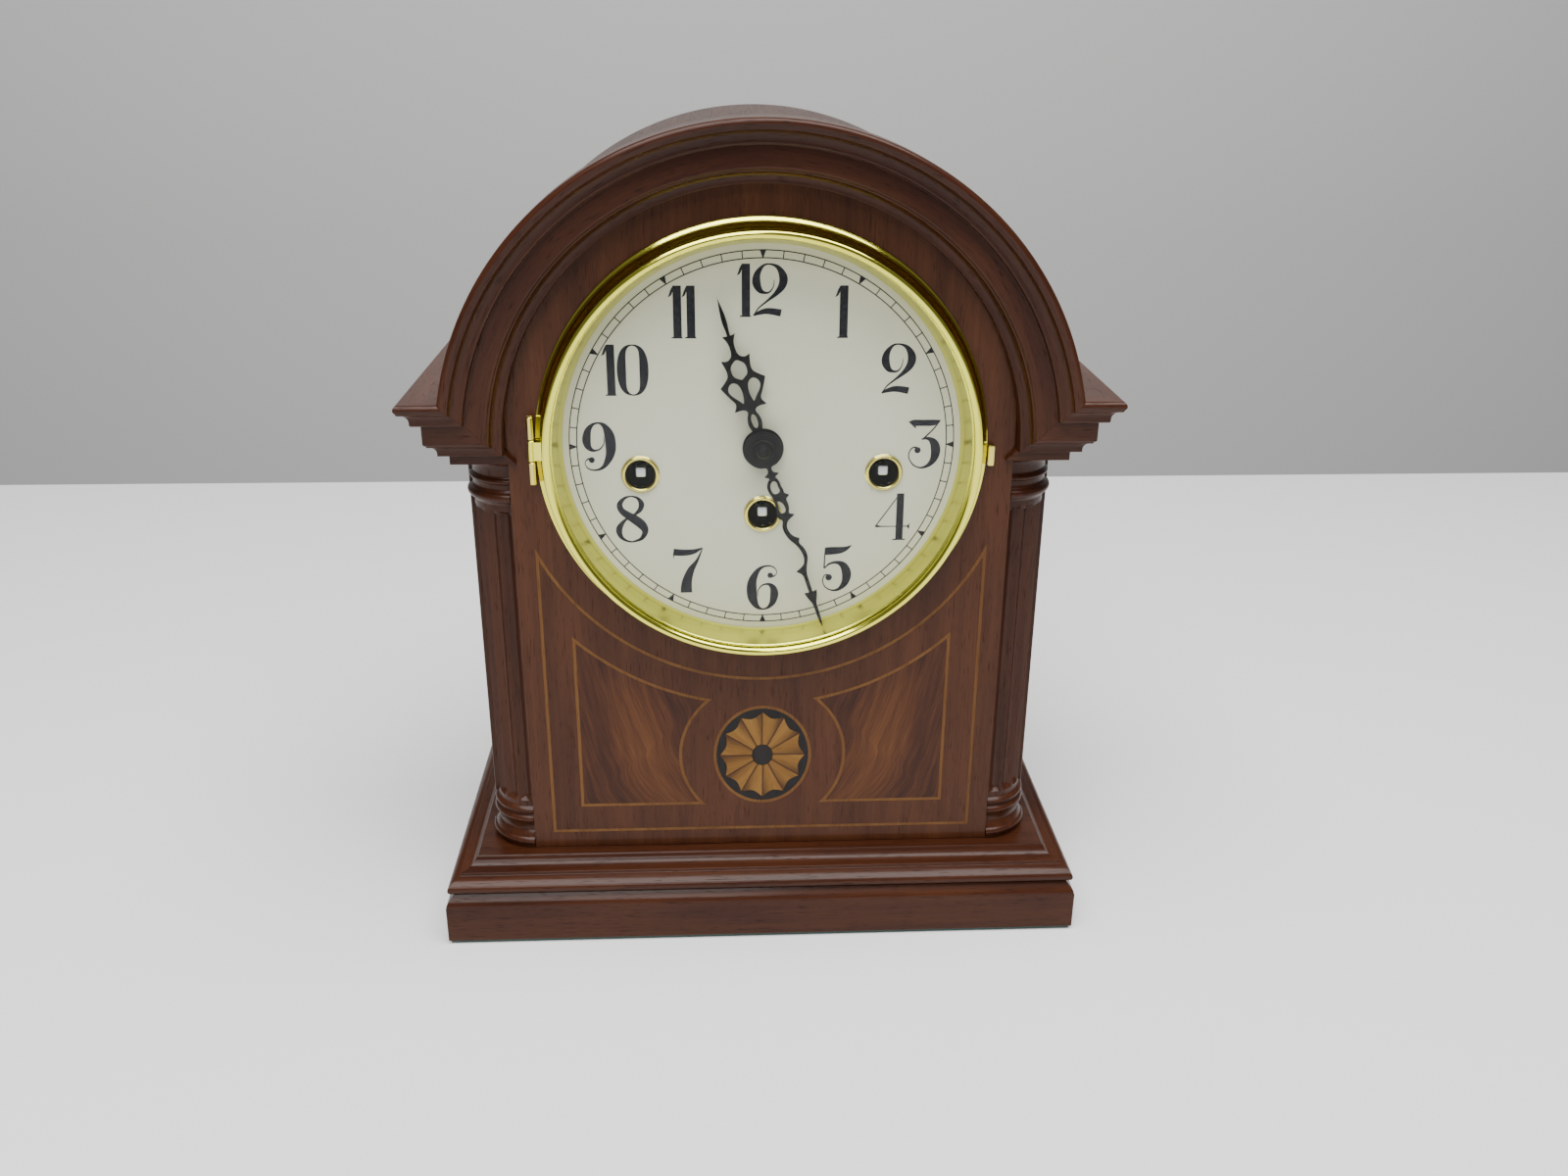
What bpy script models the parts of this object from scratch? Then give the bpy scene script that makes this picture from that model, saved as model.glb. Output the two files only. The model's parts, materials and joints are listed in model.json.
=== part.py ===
"""Arched, key-wound chiming mantel clock, modelled as the separate pieces it is made from.

Metres, +Z up, the front faces -Y. The origin is on the ground, under the middle of the clock.
Dimensions below are in millimetres. "back" is a distance behind the face of the front panel,
so pieces that stand in front of that face have a negative value.
"""
import math

import bmesh
import bpy
from mathutils import Matrix, Vector

MM = 0.001
GAP = 0.3                      # clearance between pieces that touch

# Case
FACE_Y = -57.5                 # face of the front panel
CASE_HALF = 126.6              # half-width over the side panels
CASE_BACK = 129.8              # rear plane of the case
PANEL_HALF = 106.1             # half-width of the front panel between the columns
PANEL_THICK = 16.0
SIDE_THICK = 10.0
FELT_TOP = 1.0
PLINTH_TOP = 24.9
BASE_TOP = 39.0
ABACUS_LOW = 227.2
SHELF_TOP = 256.6

# Arch
DIAL_Z = 233.0                 # centre of the dial and of the arch
ARCH_R = 131.7                 # outer edge of the arch moulding
ROOF_R = 128.8                 # the roof springs from the side panels
ROOF_IN_R = 119.8
ARCH_STEPS = 30
ROUND_STEPS = 40               # facets of the dial, its ring and the bezel

# Column
COLUMN_R = 20.5
SHAFT_R = 18.0
FLUTES = 4
FLUTE_DEPTH = 1.6

# Inlay
INLAY_DEEP = 0.6
STRING_HALF = 0.7
STRING_X = 96.7
STRING_LOW = 47.7
STRING_R = 107.6
VENEER_X = 83.8
VENEER_LOW = 60.6
VENEER_R = 119.9
VENEER_INNER_R = 36.8
MEDALLION_Z = 86.3
MEDALLION_X_R = 22.4
MEDALLION_Z_R = 25.4

# Dial, bezel and hands
OPENING_R = 88.6
DIAL_R = 86.5
DIAL_FRONT = 2.6
DIAL_THICK = 0.8
WIND_SIDE = (51.5, -12.2)      # side winding squares, from the centre of the dial
WIND_LOW = (0.0, -30.3)        # middle winding square
WIND_HOLE_R = 7.3
BEZEL_HINGE_X = -95.7
BEZEL_HINGE_BACK = -3.2
HINGE_HALF = 14.5
HINGE_R = 1.3
HINGE_PIN_R = 0.5
MINUTE_ANGLE = 162.0           # degrees clockwise from twelve
HOUR_ANGLE = 343.5
MINUTE_REACH = 82.5
HOUR_REACH = 64.5
MINUTE_BACK = -5.2             # front faces of the hands
HOUR_BACK = -2.2
HAND_THICK = 0.8

# Movement
FRONT_PLATE = 17.0
BACK_PLATE = 57.0
PLATE_THICK = 2.0
PLATE_HALF = 70.0
PLATE_LOW = 160.0
PLATE_HIGH = 276.0
PILLAR_R = 3.5
TOOTH_HALF = 0.45                  # half of the depth of a wheel's teeth
MINUTE_WHEEL_AT = (-12.0, 0.0)     # from the centre of the dial
INTERMEDIATE_AT = (26.0, -15.0)
BALANCE_AT = (-30.0, 22.0)
HAMMER_X = 60.0
HAMMER_Z = 120.0
DRUM_X = 71.0
DRUM_Z = 137.0
ROD_Z = 62.0
ROD_R = 1.6
HAMMER_REST = 6.0                  # hammer heads above the axis of the rods
CHIME_NOTES = 4
NOTE_PITCH = 8.0
FIRST_NOTE = 67.0                  # back of the first rod and hammer

# Rear door
DOOR_HALF = 95.4
DOOR_LOW = 60.6
DOOR_R = 98.4
DOOR_CLEAR = 0.8
DOOR_THICK = 7.0
FRAME_THICK = 8.0
KNOB_PROUD = 5.2
KNOB_X = -84.0
KNOB_Z = 190.0

FINISHES = {                       # colour, roughness, metallic
    "mahogany": ((0.13, 0.035, 0.018), 0.32, 0.0),
    "flame_veneer": ((0.22, 0.075, 0.03), 0.32, 0.0),
    "light_inlay": ((0.48, 0.24, 0.09), 0.35, 0.0),
    "polished_brass": ((0.83, 0.69, 0.32), 0.16, 1.0),
    "movement_brass": ((0.72, 0.55, 0.24), 0.35, 1.0),
    "steel": ((0.55, 0.55, 0.56), 0.3, 1.0),
    "blackened_steel": ((0.015, 0.015, 0.017), 0.45, 0.3),
    "cast_iron": ((0.06, 0.06, 0.065), 0.6, 0.6),
    "dial_cream": ((0.80, 0.79, 0.72), 0.5, 0.0),
    "glass": ((0.95, 0.97, 0.96), 0.03, 0.0),
    "felt": ((0.03, 0.08, 0.06), 0.95, 0.0),
}


# ---------------------------------------------------------------- helpers

def clear_scene():
    for item in list(bpy.data.objects):
        bpy.data.objects.remove(item, do_unlink=True)


def material(finish):
    found = bpy.data.materials.get(finish)
    if found:
        return found
    colour, roughness, metallic = FINISHES[finish]
    made = bpy.data.materials.new(finish)
    made.use_nodes = True
    shader = made.node_tree.nodes["Principled BSDF"]
    shader.inputs["Base Color"].default_value = (*colour, 1.0)
    shader.inputs["Roughness"].default_value = roughness
    shader.inputs["Metallic"].default_value = metallic
    if finish == "glass":
        shader.inputs["Alpha"].default_value = 0.25
    return made


def add_object(name, bm, finish, pivot=(0.0, 0.0, 0.0), smooth=False):
    """Turn a bmesh in millimetres into an object whose origin is at the pivot."""
    bmesh.ops.remove_doubles(bm, verts=bm.verts, dist=1e-4)
    bmesh.ops.recalc_face_normals(bm, faces=bm.faces)
    bmesh.ops.translate(bm, verts=bm.verts, vec=-Vector(pivot))
    bmesh.ops.scale(bm, verts=bm.verts, vec=(MM, MM, MM))
    mesh = bpy.data.meshes.new(name)
    bm.to_mesh(mesh)
    bm.free()
    if smooth:
        mesh.shade_smooth()
        mesh.set_sharp_from_angle(angle=math.radians(32.0))
    mesh.materials.append(material(finish))
    item = bpy.data.objects.new(name, mesh)
    item.location = Vector(pivot) * MM
    bpy.context.scene.collection.objects.link(item)
    return item


def boolean(item, tool, operation="DIFFERENCE"):
    """Cut or join with a tool object that stays out of the model."""
    tool.hide_render = True
    tool.display_type = "WIRE"
    step = item.modifiers.new(operation.title(), "BOOLEAN")
    step.operation = operation
    step.solver = "EXACT"
    step.object = tool


def back_y(back):
    return FACE_Y + back


def box_mesh(x, y, z):
    """Box between pairs of lowest and highest values."""
    bm = bmesh.new()
    size = Vector((x[1] - x[0], y[1] - y[0], z[1] - z[0]))
    middle = Vector((x[1] + x[0], y[1] + y[0], z[1] + z[0])) / 2.0
    bmesh.ops.create_cube(bm, size=1.0, matrix=Matrix.Translation(middle) @ Matrix.Diagonal((*size, 1.0)))
    return bm


def plate_mesh(outline, back, thick, holes=()):
    """Flat plate in the XZ plane, with holes, from one back distance to another."""
    bm = bmesh.new()
    edges = []
    for loop in (outline, *holes):
        ring = [bm.verts.new((x, back_y(back), z)) for x, z in loop]
        edges += [bm.edges.new((ring[i - 1], ring[i])) for i in range(len(ring))]
    if holes:
        bmesh.ops.triangle_fill(bm, use_beauty=True, edges=edges)
    else:
        bmesh.ops.contextual_create(bm, geom=edges)
    grown = bmesh.ops.extrude_face_region(bm, geom=list(bm.faces))
    verts = [g for g in grown["geom"] if isinstance(g, bmesh.types.BMVert)]
    bmesh.ops.translate(bm, verts=verts, vec=(0.0, thick, 0.0))
    return bm


def turned_mesh(profile, x, z, steps):
    """Turn (radius, back) points about an axis along Y. A profile off the axis makes a ring."""
    bm = bmesh.new()
    points = [bm.verts.new((x + radius, back_y(back), z)) for radius, back in profile]
    closed = min(radius for radius, back in profile) > 0.01
    first = 0 if closed else 1
    edges = [bm.edges.new((points[i - 1], points[i])) for i in range(first, len(points))]
    bmesh.ops.spin(bm, geom=points + edges, cent=(x, 0.0, z), axis=(0.0, 1.0, 0.0),
                   angle=math.tau, steps=steps, use_merge=True)
    return bm


def loft_mesh(rings, closed=False):
    """Skin rings of equally many points, with a cap at each end, or joined end to end."""
    bm = bmesh.new()
    loops = [[bm.verts.new(point) for point in ring] for ring in rings]
    if closed:
        loops.append(loops[0])
    for low, high in zip(loops, loops[1:]):
        for i in range(len(low)):
            bm.faces.new((low[i - 1], low[i], high[i], high[i - 1]))
    if not closed:
        bm.faces.new(loops[0])
        bm.faces.new(loops[-1])
    return bm


def arc(x, z, radius, start, end, steps):
    """Points along a circle, angles in degrees from +X towards +Z."""
    turn = [math.radians(start + (end - start) * i / steps) for i in range(steps + 1)]
    return [(x + radius * math.cos(a), z + radius * math.sin(a)) for a in turn]


def circle(x, z, radius, steps=24):
    return arc(x, z, radius, 0.0, 360.0, steps)[:-1]


def arch_outline(half, low, radius, steps=ARCH_STEPS):
    """Upright sides closed by a round top about the centre of the dial."""
    lean = math.degrees(math.acos(half / radius)) if half < radius else 0.0
    top = arc(0.0, DIAL_Z, radius, lean, 180.0 - lean, steps)
    return [(-half, low), (half, low)] + top


def toothed(x, z, root, tip, teeth, back):
    """Ring of pointed teeth, two points to each tooth."""
    ring = []
    for i in range(2 * teeth):
        a = math.pi * i / teeth
        radius = tip if i % 2 else root
        ring.append((x + radius * math.cos(a), back_y(back), z + radius * math.sin(a)))
    return ring


def plain_ring(x, z, radius, count, back):
    return toothed(x, z, radius, radius, count // 2, back)


def square_ring(x, z, half, count, back):
    """Ring on the sides of a square, so that it lofts to a round of as many points."""
    ring = []
    for i in range(count):
        a = math.tau * i / count
        reach = half / max(abs(math.cos(a)), abs(math.sin(a)))
        ring.append((x + reach * math.cos(a), back_y(back), z + reach * math.sin(a)))
    return ring


# ---------------------------------------------------------------- case

def hollow(out, down, size, steps=3):
    """Cavetto under an edge: it leaves the edge level and ends upright."""
    turn = [math.radians(90.0 + 90.0 * i / steps) for i in range(steps + 1)]
    return [(out + size * math.cos(a), down + size - size * math.sin(a)) for a in turn]


def crown_profile(with_abacus):
    """Section shared by cornice and arch: (distance out, distance down from the top edge)."""
    edge = [(GAP, 0.0), (19.0, 0.0), (20.0, 1.4), (19.3, 3.7)]
    upper = hollow(18.9, 4.4, 3.8)
    frieze = [(15.1, 9.6), (11.4, 10.1), (11.4, 18.2), (10.3, 19.3)]
    lower = hollow(10.2, 20.0, 3.4)
    foot = [(6.8, 24.6), (GAP, 24.9)]
    if with_abacus:
        foot = [(6.8, 24.6), (2.8, 25.1), (2.8, SHELF_TOP - ABACUS_LOW), (GAP, SHELF_TOP - ABACUS_LOW)]
    return edge + upper + frieze + lower + foot


def mitre_angle(down):
    """Angle on the arch where its run, this far down the section, meets the level cornice."""
    return math.degrees(math.asin((SHELF_TOP - down - DIAL_Z) / (ARCH_R - down)))


def mitre_x(down):
    reach = (ARCH_R - down) * math.cos(math.radians(mitre_angle(down)))
    return max(reach, PANEL_HALF + GAP)


def make_cornice(side, name):
    """Level moulding: a short run across the front and a return along the side."""
    profile = crown_profile(True)
    rings = [
        [(side * (CASE_HALF + out), back_y(CASE_BACK), SHELF_TOP - down) for out, down in profile],
        [(side * (CASE_HALF + out), back_y(-out), SHELF_TOP - down) for out, down in profile],
        [(side * (mitre_x(down) + GAP), back_y(-out), SHELF_TOP - down) for out, down in profile],
    ]
    add_object(name, loft_mesh(rings), "mahogany")


def make_arch_moulding():
    profile = crown_profile(False)
    rings = []
    for step in range(ARCH_STEPS + 1):
        ring = []
        for out, down in profile:
            start = mitre_angle(down)
            a = math.radians(start + (180.0 - 2.0 * start) * step / ARCH_STEPS)
            reach = ARCH_R - down
            ring.append((reach * math.cos(a), back_y(-out), DIAL_Z + reach * math.sin(a)))
        rings.append(ring)
    add_object("arch_moulding", loft_mesh(rings), "mahogany", smooth=True)


def base_rectangle(out, z):
    """Plan of the base at one height. It projects at the front and sides, not at the back."""
    half = CASE_HALF + out
    front = back_y(-out)
    rear = back_y(CASE_BACK)
    return [(-half, rear, z), (-half, front, z), (half, front, z), (half, rear, z)]


def make_base():
    plinth = [(19.2, FELT_TOP + GAP), (19.7, FELT_TOP + 0.9), (19.7, 19.3), (19.0, 21.3), (17.4, 23.4),
              (16.2, PLINTH_TOP)]
    add_object("plinth", loft_mesh([base_rectangle(out, z) for out, z in plinth]), "mahogany")
    lip = [(15.6, PLINTH_TOP + GAP), (17.4, 25.7), (18.1, 27.2), (18.0, 29.0), (17.0, 30.9), (15.2, 32.3),
           (13.2, 32.9), (13.0, 34.2)]
    rise = [(11.4, 34.5), (9.8, 35.4), (8.7, 36.6), (8.0, 37.9), (7.0, 38.7), (5.6, BASE_TOP)]
    add_object("base_moulding", loft_mesh([base_rectangle(out, z) for out, z in lip + rise]), "mahogany")
    felt = [base_rectangle(18.6, 0.0), base_rectangle(18.6, FELT_TOP)]
    add_object("felt_base", loft_mesh(felt), "felt")


def make_side_panels():
    for side, name in ((-1, "side_panel_left"), (1, "side_panel_right")):
        x = sorted((side * (CASE_HALF - SIDE_THICK), side * CASE_HALF))
        y = (back_y(COLUMN_R + GAP), back_y(CASE_BACK))
        add_object(name, box_mesh(x, y, (BASE_TOP + GAP, SHELF_TOP - GAP)), "mahogany")


def make_roof():
    """Bent board over the case, standing on the side panels."""
    outer_lean = math.degrees(math.asin((SHELF_TOP + GAP - DIAL_Z) / ROOF_R))
    inner_lean = math.degrees(math.asin((SHELF_TOP + GAP - DIAL_Z) / ROOF_IN_R))
    outline = arc(0.0, DIAL_Z, ROOF_R, outer_lean, 180.0 - outer_lean, ARCH_STEPS)
    outline += arc(0.0, DIAL_Z, ROOF_IN_R, 180.0 - inner_lean, inner_lean, ARCH_STEPS)
    start = PANEL_THICK + GAP
    add_object("barrel_roof", plate_mesh(outline, start, CASE_BACK - start), "mahogany", smooth=True)


def column_ring(side, z, radius, fluted):
    """Quarter round at one height: the corner on the axis, then the curved face."""
    axis_x = PANEL_HALF + GAP
    points = [(side * axis_x, back_y(COLUMN_R), z)]
    flute_depths = (0.0, FLUTE_DEPTH / 2.0, FLUTE_DEPTH, FLUTE_DEPTH / 2.0)
    steps = FLUTES * len(flute_depths)
    for i in range(steps + 1):
        a = math.radians(90.0 * i / steps)
        reach = radius - (flute_depths[i % len(flute_depths)] if fluted else 0.0)
        x = axis_x + reach * math.sin(a)
        points.append((side * x, back_y(COLUMN_R - reach * math.cos(a)), z))
    return points


def make_column(side, name):
    foot = [(20.6, BASE_TOP + GAP), (21.5, 42.4), (20.8, 45.6), (19.5, 46.6), (18.2, 49.0), (18.4, 51.6),
            (19.6, 53.4), (20.2, 56.6), (19.2, 59.2), (SHAFT_R, 59.8), (SHAFT_R, 61.5)]
    head = [(SHAFT_R, 204.8), (SHAFT_R, 207.0), (19.8, 208.0), (20.5, 211.2), (19.6, 214.6), (18.4, 215.6),
            (19.2, 218.4), (18.2, 220.6), (18.8, 223.6), (20.3, 226.0), (20.3, ABACUS_LOW - GAP)]
    rings = [column_ring(side, z, radius, False) for radius, z in foot]
    rings += [column_ring(side, z, SHAFT_R, True) for z in (64.5, 201.8)]
    rings += [column_ring(side, z, radius, False) for radius, z in head]
    add_object(name, loft_mesh(rings), "mahogany", smooth=True)


def string_outline(grow):
    """Border line of the panel, moved outwards by a distance."""
    half = STRING_X + grow
    radius = STRING_R - grow
    lean = math.degrees(math.acos(half / radius))
    curve = arc(0.0, DIAL_Z, radius, -lean, lean - 180.0, 20)
    return [(-half, STRING_LOW - grow), (half, STRING_LOW - grow)] + curve


def veneer_outline(side, grow):
    """Five-sided figured panel: its top follows the dial and its inner side the medallion."""
    outer = VENEER_X + grow
    low = VENEER_LOW - grow
    big = VENEER_R - grow
    small = VENEER_INNER_R - grow
    apart = DIAL_Z - MEDALLION_Z
    drop = (apart * apart + big * big - small * small) / (2.0 * apart)
    meet_x = math.sqrt(big * big - drop * drop)
    meet_z = DIAL_Z - drop
    top = arc(0.0, DIAL_Z, big, -math.degrees(math.acos(outer / big)),
              -math.degrees(math.acos(meet_x / big)), 10)
    start = math.degrees(math.atan2(meet_z - MEDALLION_Z, meet_x))
    end = math.degrees(math.asin((low - MEDALLION_Z) / small))
    inner = arc(0.0, MEDALLION_Z, small, start, end, 10)
    points = [(outer, low)] + top + inner[1:]
    return [(side * x, z) for x, z in points]


def oval(grow, steps=40):
    turn = [math.tau * i / steps for i in range(steps)]
    wide, high = MEDALLION_X_R + grow, MEDALLION_Z_R + grow
    return [(wide * math.cos(a), MEDALLION_Z + high * math.sin(a)) for a in turn]


def make_front_panel():
    """Board with a round opening, ears behind the cornice, and shallow beds for the inlay."""
    ear = [(CASE_HALF, ABACUS_LOW), (CASE_HALF, SHELF_TOP)]
    lean = math.degrees(math.asin((SHELF_TOP - DIAL_Z) / ROOF_R))
    top = arc(0.0, DIAL_Z, ROOF_R, lean, 180.0 - lean, ARCH_STEPS)
    right = [(PANEL_HALF, BASE_TOP + GAP), (PANEL_HALF, ABACUS_LOW)] + ear
    outline = right + top + [(-x, z) for x, z in reversed(right)]
    opening = circle(0.0, DIAL_Z, OPENING_R, ROUND_STEPS)
    panel = add_object("front_panel", plate_mesh(outline, 0.0, PANEL_THICK, [opening]), "mahogany")
    deep = INLAY_DEEP + GAP
    wide = STRING_HALF + GAP
    beds = {
        "bed_for_stringing": plate_mesh(string_outline(wide), -1.0, 1.0 + deep, [string_outline(-wide)]),
        "bed_for_veneer_left": plate_mesh(veneer_outline(-1, GAP), -1.0, 1.0 + deep),
        "bed_for_veneer_right": plate_mesh(veneer_outline(1, GAP), -1.0, 1.0 + deep),
        "bed_for_medallion": plate_mesh(oval(GAP), -1.0, 1.0 + deep),
    }
    for name, mesh in beds.items():
        boolean(panel, add_object(name, mesh, "mahogany"))


def make_inlay():
    border = plate_mesh(string_outline(STRING_HALF), 0.0, INLAY_DEEP, [string_outline(-STRING_HALF)])
    add_object("outer_stringing", border, "light_inlay")
    for side, name in ((-1, "inlay_panel_left"), (1, "inlay_panel_right")):
        add_object(name, plate_mesh(veneer_outline(side, 0.0), 0.0, INLAY_DEEP), "flame_veneer")
    add_object("medallion", plate_mesh(oval(0.0), 0.0, INLAY_DEEP), "light_inlay")


def make_back():
    """Fixed frame let in between the sides, and the door hung in it."""
    inside = CASE_HALF - SIDE_THICK - GAP
    outline = arch_outline(inside, BASE_TOP + GAP, ROOF_IN_R - GAP, 28)
    opening = arch_outline(DOOR_HALF + DOOR_CLEAR, DOOR_LOW - DOOR_CLEAR, DOOR_R + DOOR_CLEAR, 28)
    frame = plate_mesh(outline, CASE_BACK - FRAME_THICK, FRAME_THICK, [opening])
    add_object("back_frame", frame, "mahogany")
    pivot = (DOOR_HALF + DOOR_CLEAR / 2.0, back_y(CASE_BACK), DIAL_Z)
    outline = arch_outline(DOOR_HALF, DOOR_LOW, DOOR_R, 28)
    door = plate_mesh(outline, CASE_BACK - DOOR_THICK, DOOR_THICK)
    add_object("back_door", door, "mahogany", pivot)
    turned = [(0.0, GAP), (4.2, GAP), (3.4, 1.8), (5.2, 3.0), (5.0, 4.5), (3.2, KNOB_PROUD),
              (0.0, KNOB_PROUD)]
    knob = turned_mesh([(radius, CASE_BACK + proud) for radius, proud in turned], KNOB_X, KNOB_Z, 20)
    add_object("door_knob", knob, "polished_brass", pivot, smooth=True)


# ---------------------------------------------------------------- dial, bezel and hands

def wind_points():
    """Winding squares: strike at the left, time in the middle, chime at the right."""
    side_x, side_z = WIND_SIDE
    return {
        "strike": (-side_x, DIAL_Z + side_z),
        "time": (WIND_LOW[0], DIAL_Z + WIND_LOW[1]),
        "chime": (side_x, DIAL_Z + side_z),
    }


def make_dial():
    holes = [circle(x, z, WIND_HOLE_R, 20) for x, z in wind_points().values()]
    holes.append(circle(0.0, DIAL_Z, 4.4, 16))
    sheet = plate_mesh(circle(0.0, DIAL_Z, DIAL_R, ROUND_STEPS), DIAL_FRONT, DIAL_THICK, holes)
    add_object("dial", sheet, "dial_cream")
    rest = DIAL_FRONT - GAP
    reflector = [(83.4, rest), (86.9, -9.6), (87.7, -9.6), (87.7, -1.3), (94.2, -1.3), (94.2, -GAP),
                 (87.7, -GAP), (87.7, 4.6), (86.9, 4.6), (86.9, rest)]
    ring = turned_mesh(reflector, 0.0, DIAL_Z, ROUND_STEPS)
    add_object("dial_ring", ring, "polished_brass", smooth=True)
    tube = WIND_HOLE_R - GAP
    rolled = [(6.3, 5.0), (6.3, 1.9), (6.9, 1.3), (7.6, 1.3), (8.1, rest), (tube, rest), (tube, 5.0)]
    for train, (x, z) in wind_points().items():
        eyelet = turned_mesh(rolled, x, z, 18)
        add_object(f"winding_eyelet_{train}", eyelet, "polished_brass", smooth=True)


def make_bezel():
    """Hinged brass ring with its convex glass."""
    pivot = (BEZEL_HINGE_X, back_y(BEZEL_HINGE_BACK), DIAL_Z)
    section = [(88.1, -1.7), (88.1, -12.1), (86.9, -12.1), (87.1, -12.8), (88.4, -13.4), (90.0, -13.0),
               (90.9, -11.8), (90.9, -5.4), (91.6, -3.6), (94.2, -1.7)]
    ring = turned_mesh(section, 0.0, DIAL_Z, ROUND_STEPS)
    bezel = add_object("bezel_ring", ring, "polished_brass", pivot, smooth=True)
    arm = box_mesh((BEZEL_HINGE_X + 1.05, -89.6), (back_y(-4.2), back_y(-2.8)), (DIAL_Z - 4.0, DIAL_Z + 4.0))
    boolean(bezel, add_object("bezel_arm", arm, "polished_brass"), "UNION")
    knuckle = hinge_barrel(DIAL_Z - 4.5, DIAL_Z + 4.5, HINGE_R, HINGE_PIN_R + GAP)
    boolean(bezel, add_object("bezel_knuckle", knuckle, "polished_brass"), "UNION")

    edge, rise, thick = 87.8, 6.0, 1.6
    sphere = (edge * edge + rise * rise) / (2.0 * rise)
    radii = [edge * i / 4.0 for i in range(5)]
    front = [(r, -11.8 - (math.sqrt(sphere * sphere - r * r) - (sphere - rise))) for r in radii]
    rear = [(r, back + thick) for r, back in reversed(front)]
    glass = turned_mesh(front + rear, 0.0, DIAL_Z, ROUND_STEPS)
    add_object("bezel_glass", glass, "glass", pivot, smooth=True)


def make_bezel_hinge():
    """Fixed leaf with its two knuckles and the pin, and the catch on the other side."""
    low, high = DIAL_Z - HINGE_HALF, DIAL_Z + HINGE_HALF
    plate = box_mesh((BEZEL_HINGE_X - 1.3, BEZEL_HINGE_X + 1.1), (back_y(-1.4), back_y(-GAP)), (low, high))
    leaf = add_object("bezel_hinge_leaf", plate, "polished_brass")
    for name, ends in (("hinge_low", (low, DIAL_Z - 4.8)), ("hinge_high", (DIAL_Z + 4.8, high))):
        boolean(leaf, add_object(name, hinge_barrel(*ends, HINGE_R), "polished_brass"), "UNION")
        web = box_mesh((BEZEL_HINGE_X - 0.9, BEZEL_HINGE_X + 0.2),
                       (back_y(BEZEL_HINGE_BACK + 0.1), back_y(-0.8)), (ends[0] + 0.5, ends[1] - 0.5))
        boolean(leaf, add_object(f"{name}_web", web, "polished_brass"), "UNION")
    pin = hinge_barrel(low + 1.0, high - 1.0, HINGE_PIN_R)
    boolean(leaf, add_object("hinge_pin", pin, "polished_brass"), "UNION")
    catch = box_mesh((94.6, 97.4), (back_y(-3.4), back_y(-GAP)), (DIAL_Z - 8.0, DIAL_Z + 1.2))
    add_object("bezel_catch", catch, "polished_brass")


def hinge_barrel(low, high, radius, bore=0.0):
    """Upright cylinder on the bezel's hinge axis, or a tube when it has a bore."""
    section = [(radius, low), (radius, high)]
    if bore:
        section += [(bore, high), (bore, low)]
    turn = [math.tau * i / 16 for i in range(16)]
    y = back_y(BEZEL_HINGE_BACK)
    rings = [[(BEZEL_HINGE_X + r * math.cos(a), y + r * math.sin(a), z) for a in turn] for r, z in section]
    return loft_mesh(rings, closed=bool(bore))


def hand_mesh(angle, back, widths, loops, hub, bore):
    """Flat hand: half-widths along its length, pierced by oval loops, about a round hub."""
    sine, cosine = math.sin(math.radians(angle)), math.cos(math.radians(angle))

    def place(along, across):
        return (along * sine + across * cosine, DIAL_Z + along * cosine - across * sine)

    first = math.degrees(math.asin(widths[0][1] / hub))
    outline = [place(along, -half) for along, half in widths]
    outline += [place(along, half) for along, half in reversed(widths) if half > 0.0]
    turn = [math.radians(first + (360.0 - 2.0 * first) * i / 24) for i in range(1, 24)]
    outline += [place(hub * math.cos(a), hub * math.sin(a)) for a in turn]
    turn = [math.tau * i / 16 for i in range(16)]
    holes = [[place(bore * math.cos(a), bore * math.sin(a)) for a in turn]]
    for middle, long_r, cross_r, aside in loops:
        holes.append([place(middle + long_r * math.cos(math.tau * i / 12),
                            aside + cross_r * math.sin(math.tau * i / 12)) for i in range(12)])
    return plate_mesh(outline, back, HAND_THICK, holes)


def make_hands():
    pivot = (0.0, back_y(0.0), DIAL_Z)
    minute = [(7.6, 1.2), (11.0, 1.1), (13.0, 2.6), (16.0, 3.4), (19.0, 2.9), (22.0, 1.2), (25.0, 2.6),
              (28.0, 2.9), (31.0, 1.1), (38.0, 1.5), (50.0, 1.0), (60.0, 0.9), (66.0, 2.0), (71.0, 0.8),
              (MINUTE_REACH, 0.0)]
    minute_loops = [(16.2, 2.4, 2.0, 0.0), (26.8, 1.8, 1.5, 0.0)]
    long_hand = hand_mesh(MINUTE_ANGLE, MINUTE_BACK, minute, minute_loops, 7.8, 2.3)
    add_object("minute_hand", long_hand, "blackened_steel", pivot)
    hour = [(8.3, 1.3), (11.0, 1.4), (13.5, 3.0), (16.0, 2.4), (18.0, 3.5), (23.0, 7.6), (28.0, 6.8),
            (31.0, 3.2), (34.0, 4.6), (38.0, 4.4), (41.0, 1.5), (46.0, 1.9), (50.0, 3.1), (55.0, 1.0),
            (HOUR_REACH, 0.0)]
    hour_loops = [(13.6, 1.5, 1.6, 0.0), (25.0, 3.4, 2.0, -3.1), (25.0, 3.4, 2.0, 3.1), (36.0, 2.4, 2.4, 0.0)]
    short_hand = hand_mesh(HOUR_ANGLE, HOUR_BACK, hour, hour_loops, 8.5, 4.2)
    add_object("hour_hand", short_hand, "blackened_steel", pivot)
    seat = MINUTE_BACK - GAP
    nut = [(0.0, -9.4), (1.6, -9.2), (2.9, -8.2), (3.3, -6.9), (4.6, -6.6), (4.6, seat), (0.0, seat)]
    add_object("hand_nut", turned_mesh(nut, 0.0, DIAL_Z, 20), "blackened_steel", pivot, smooth=True)


# ---------------------------------------------------------------- movement

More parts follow.
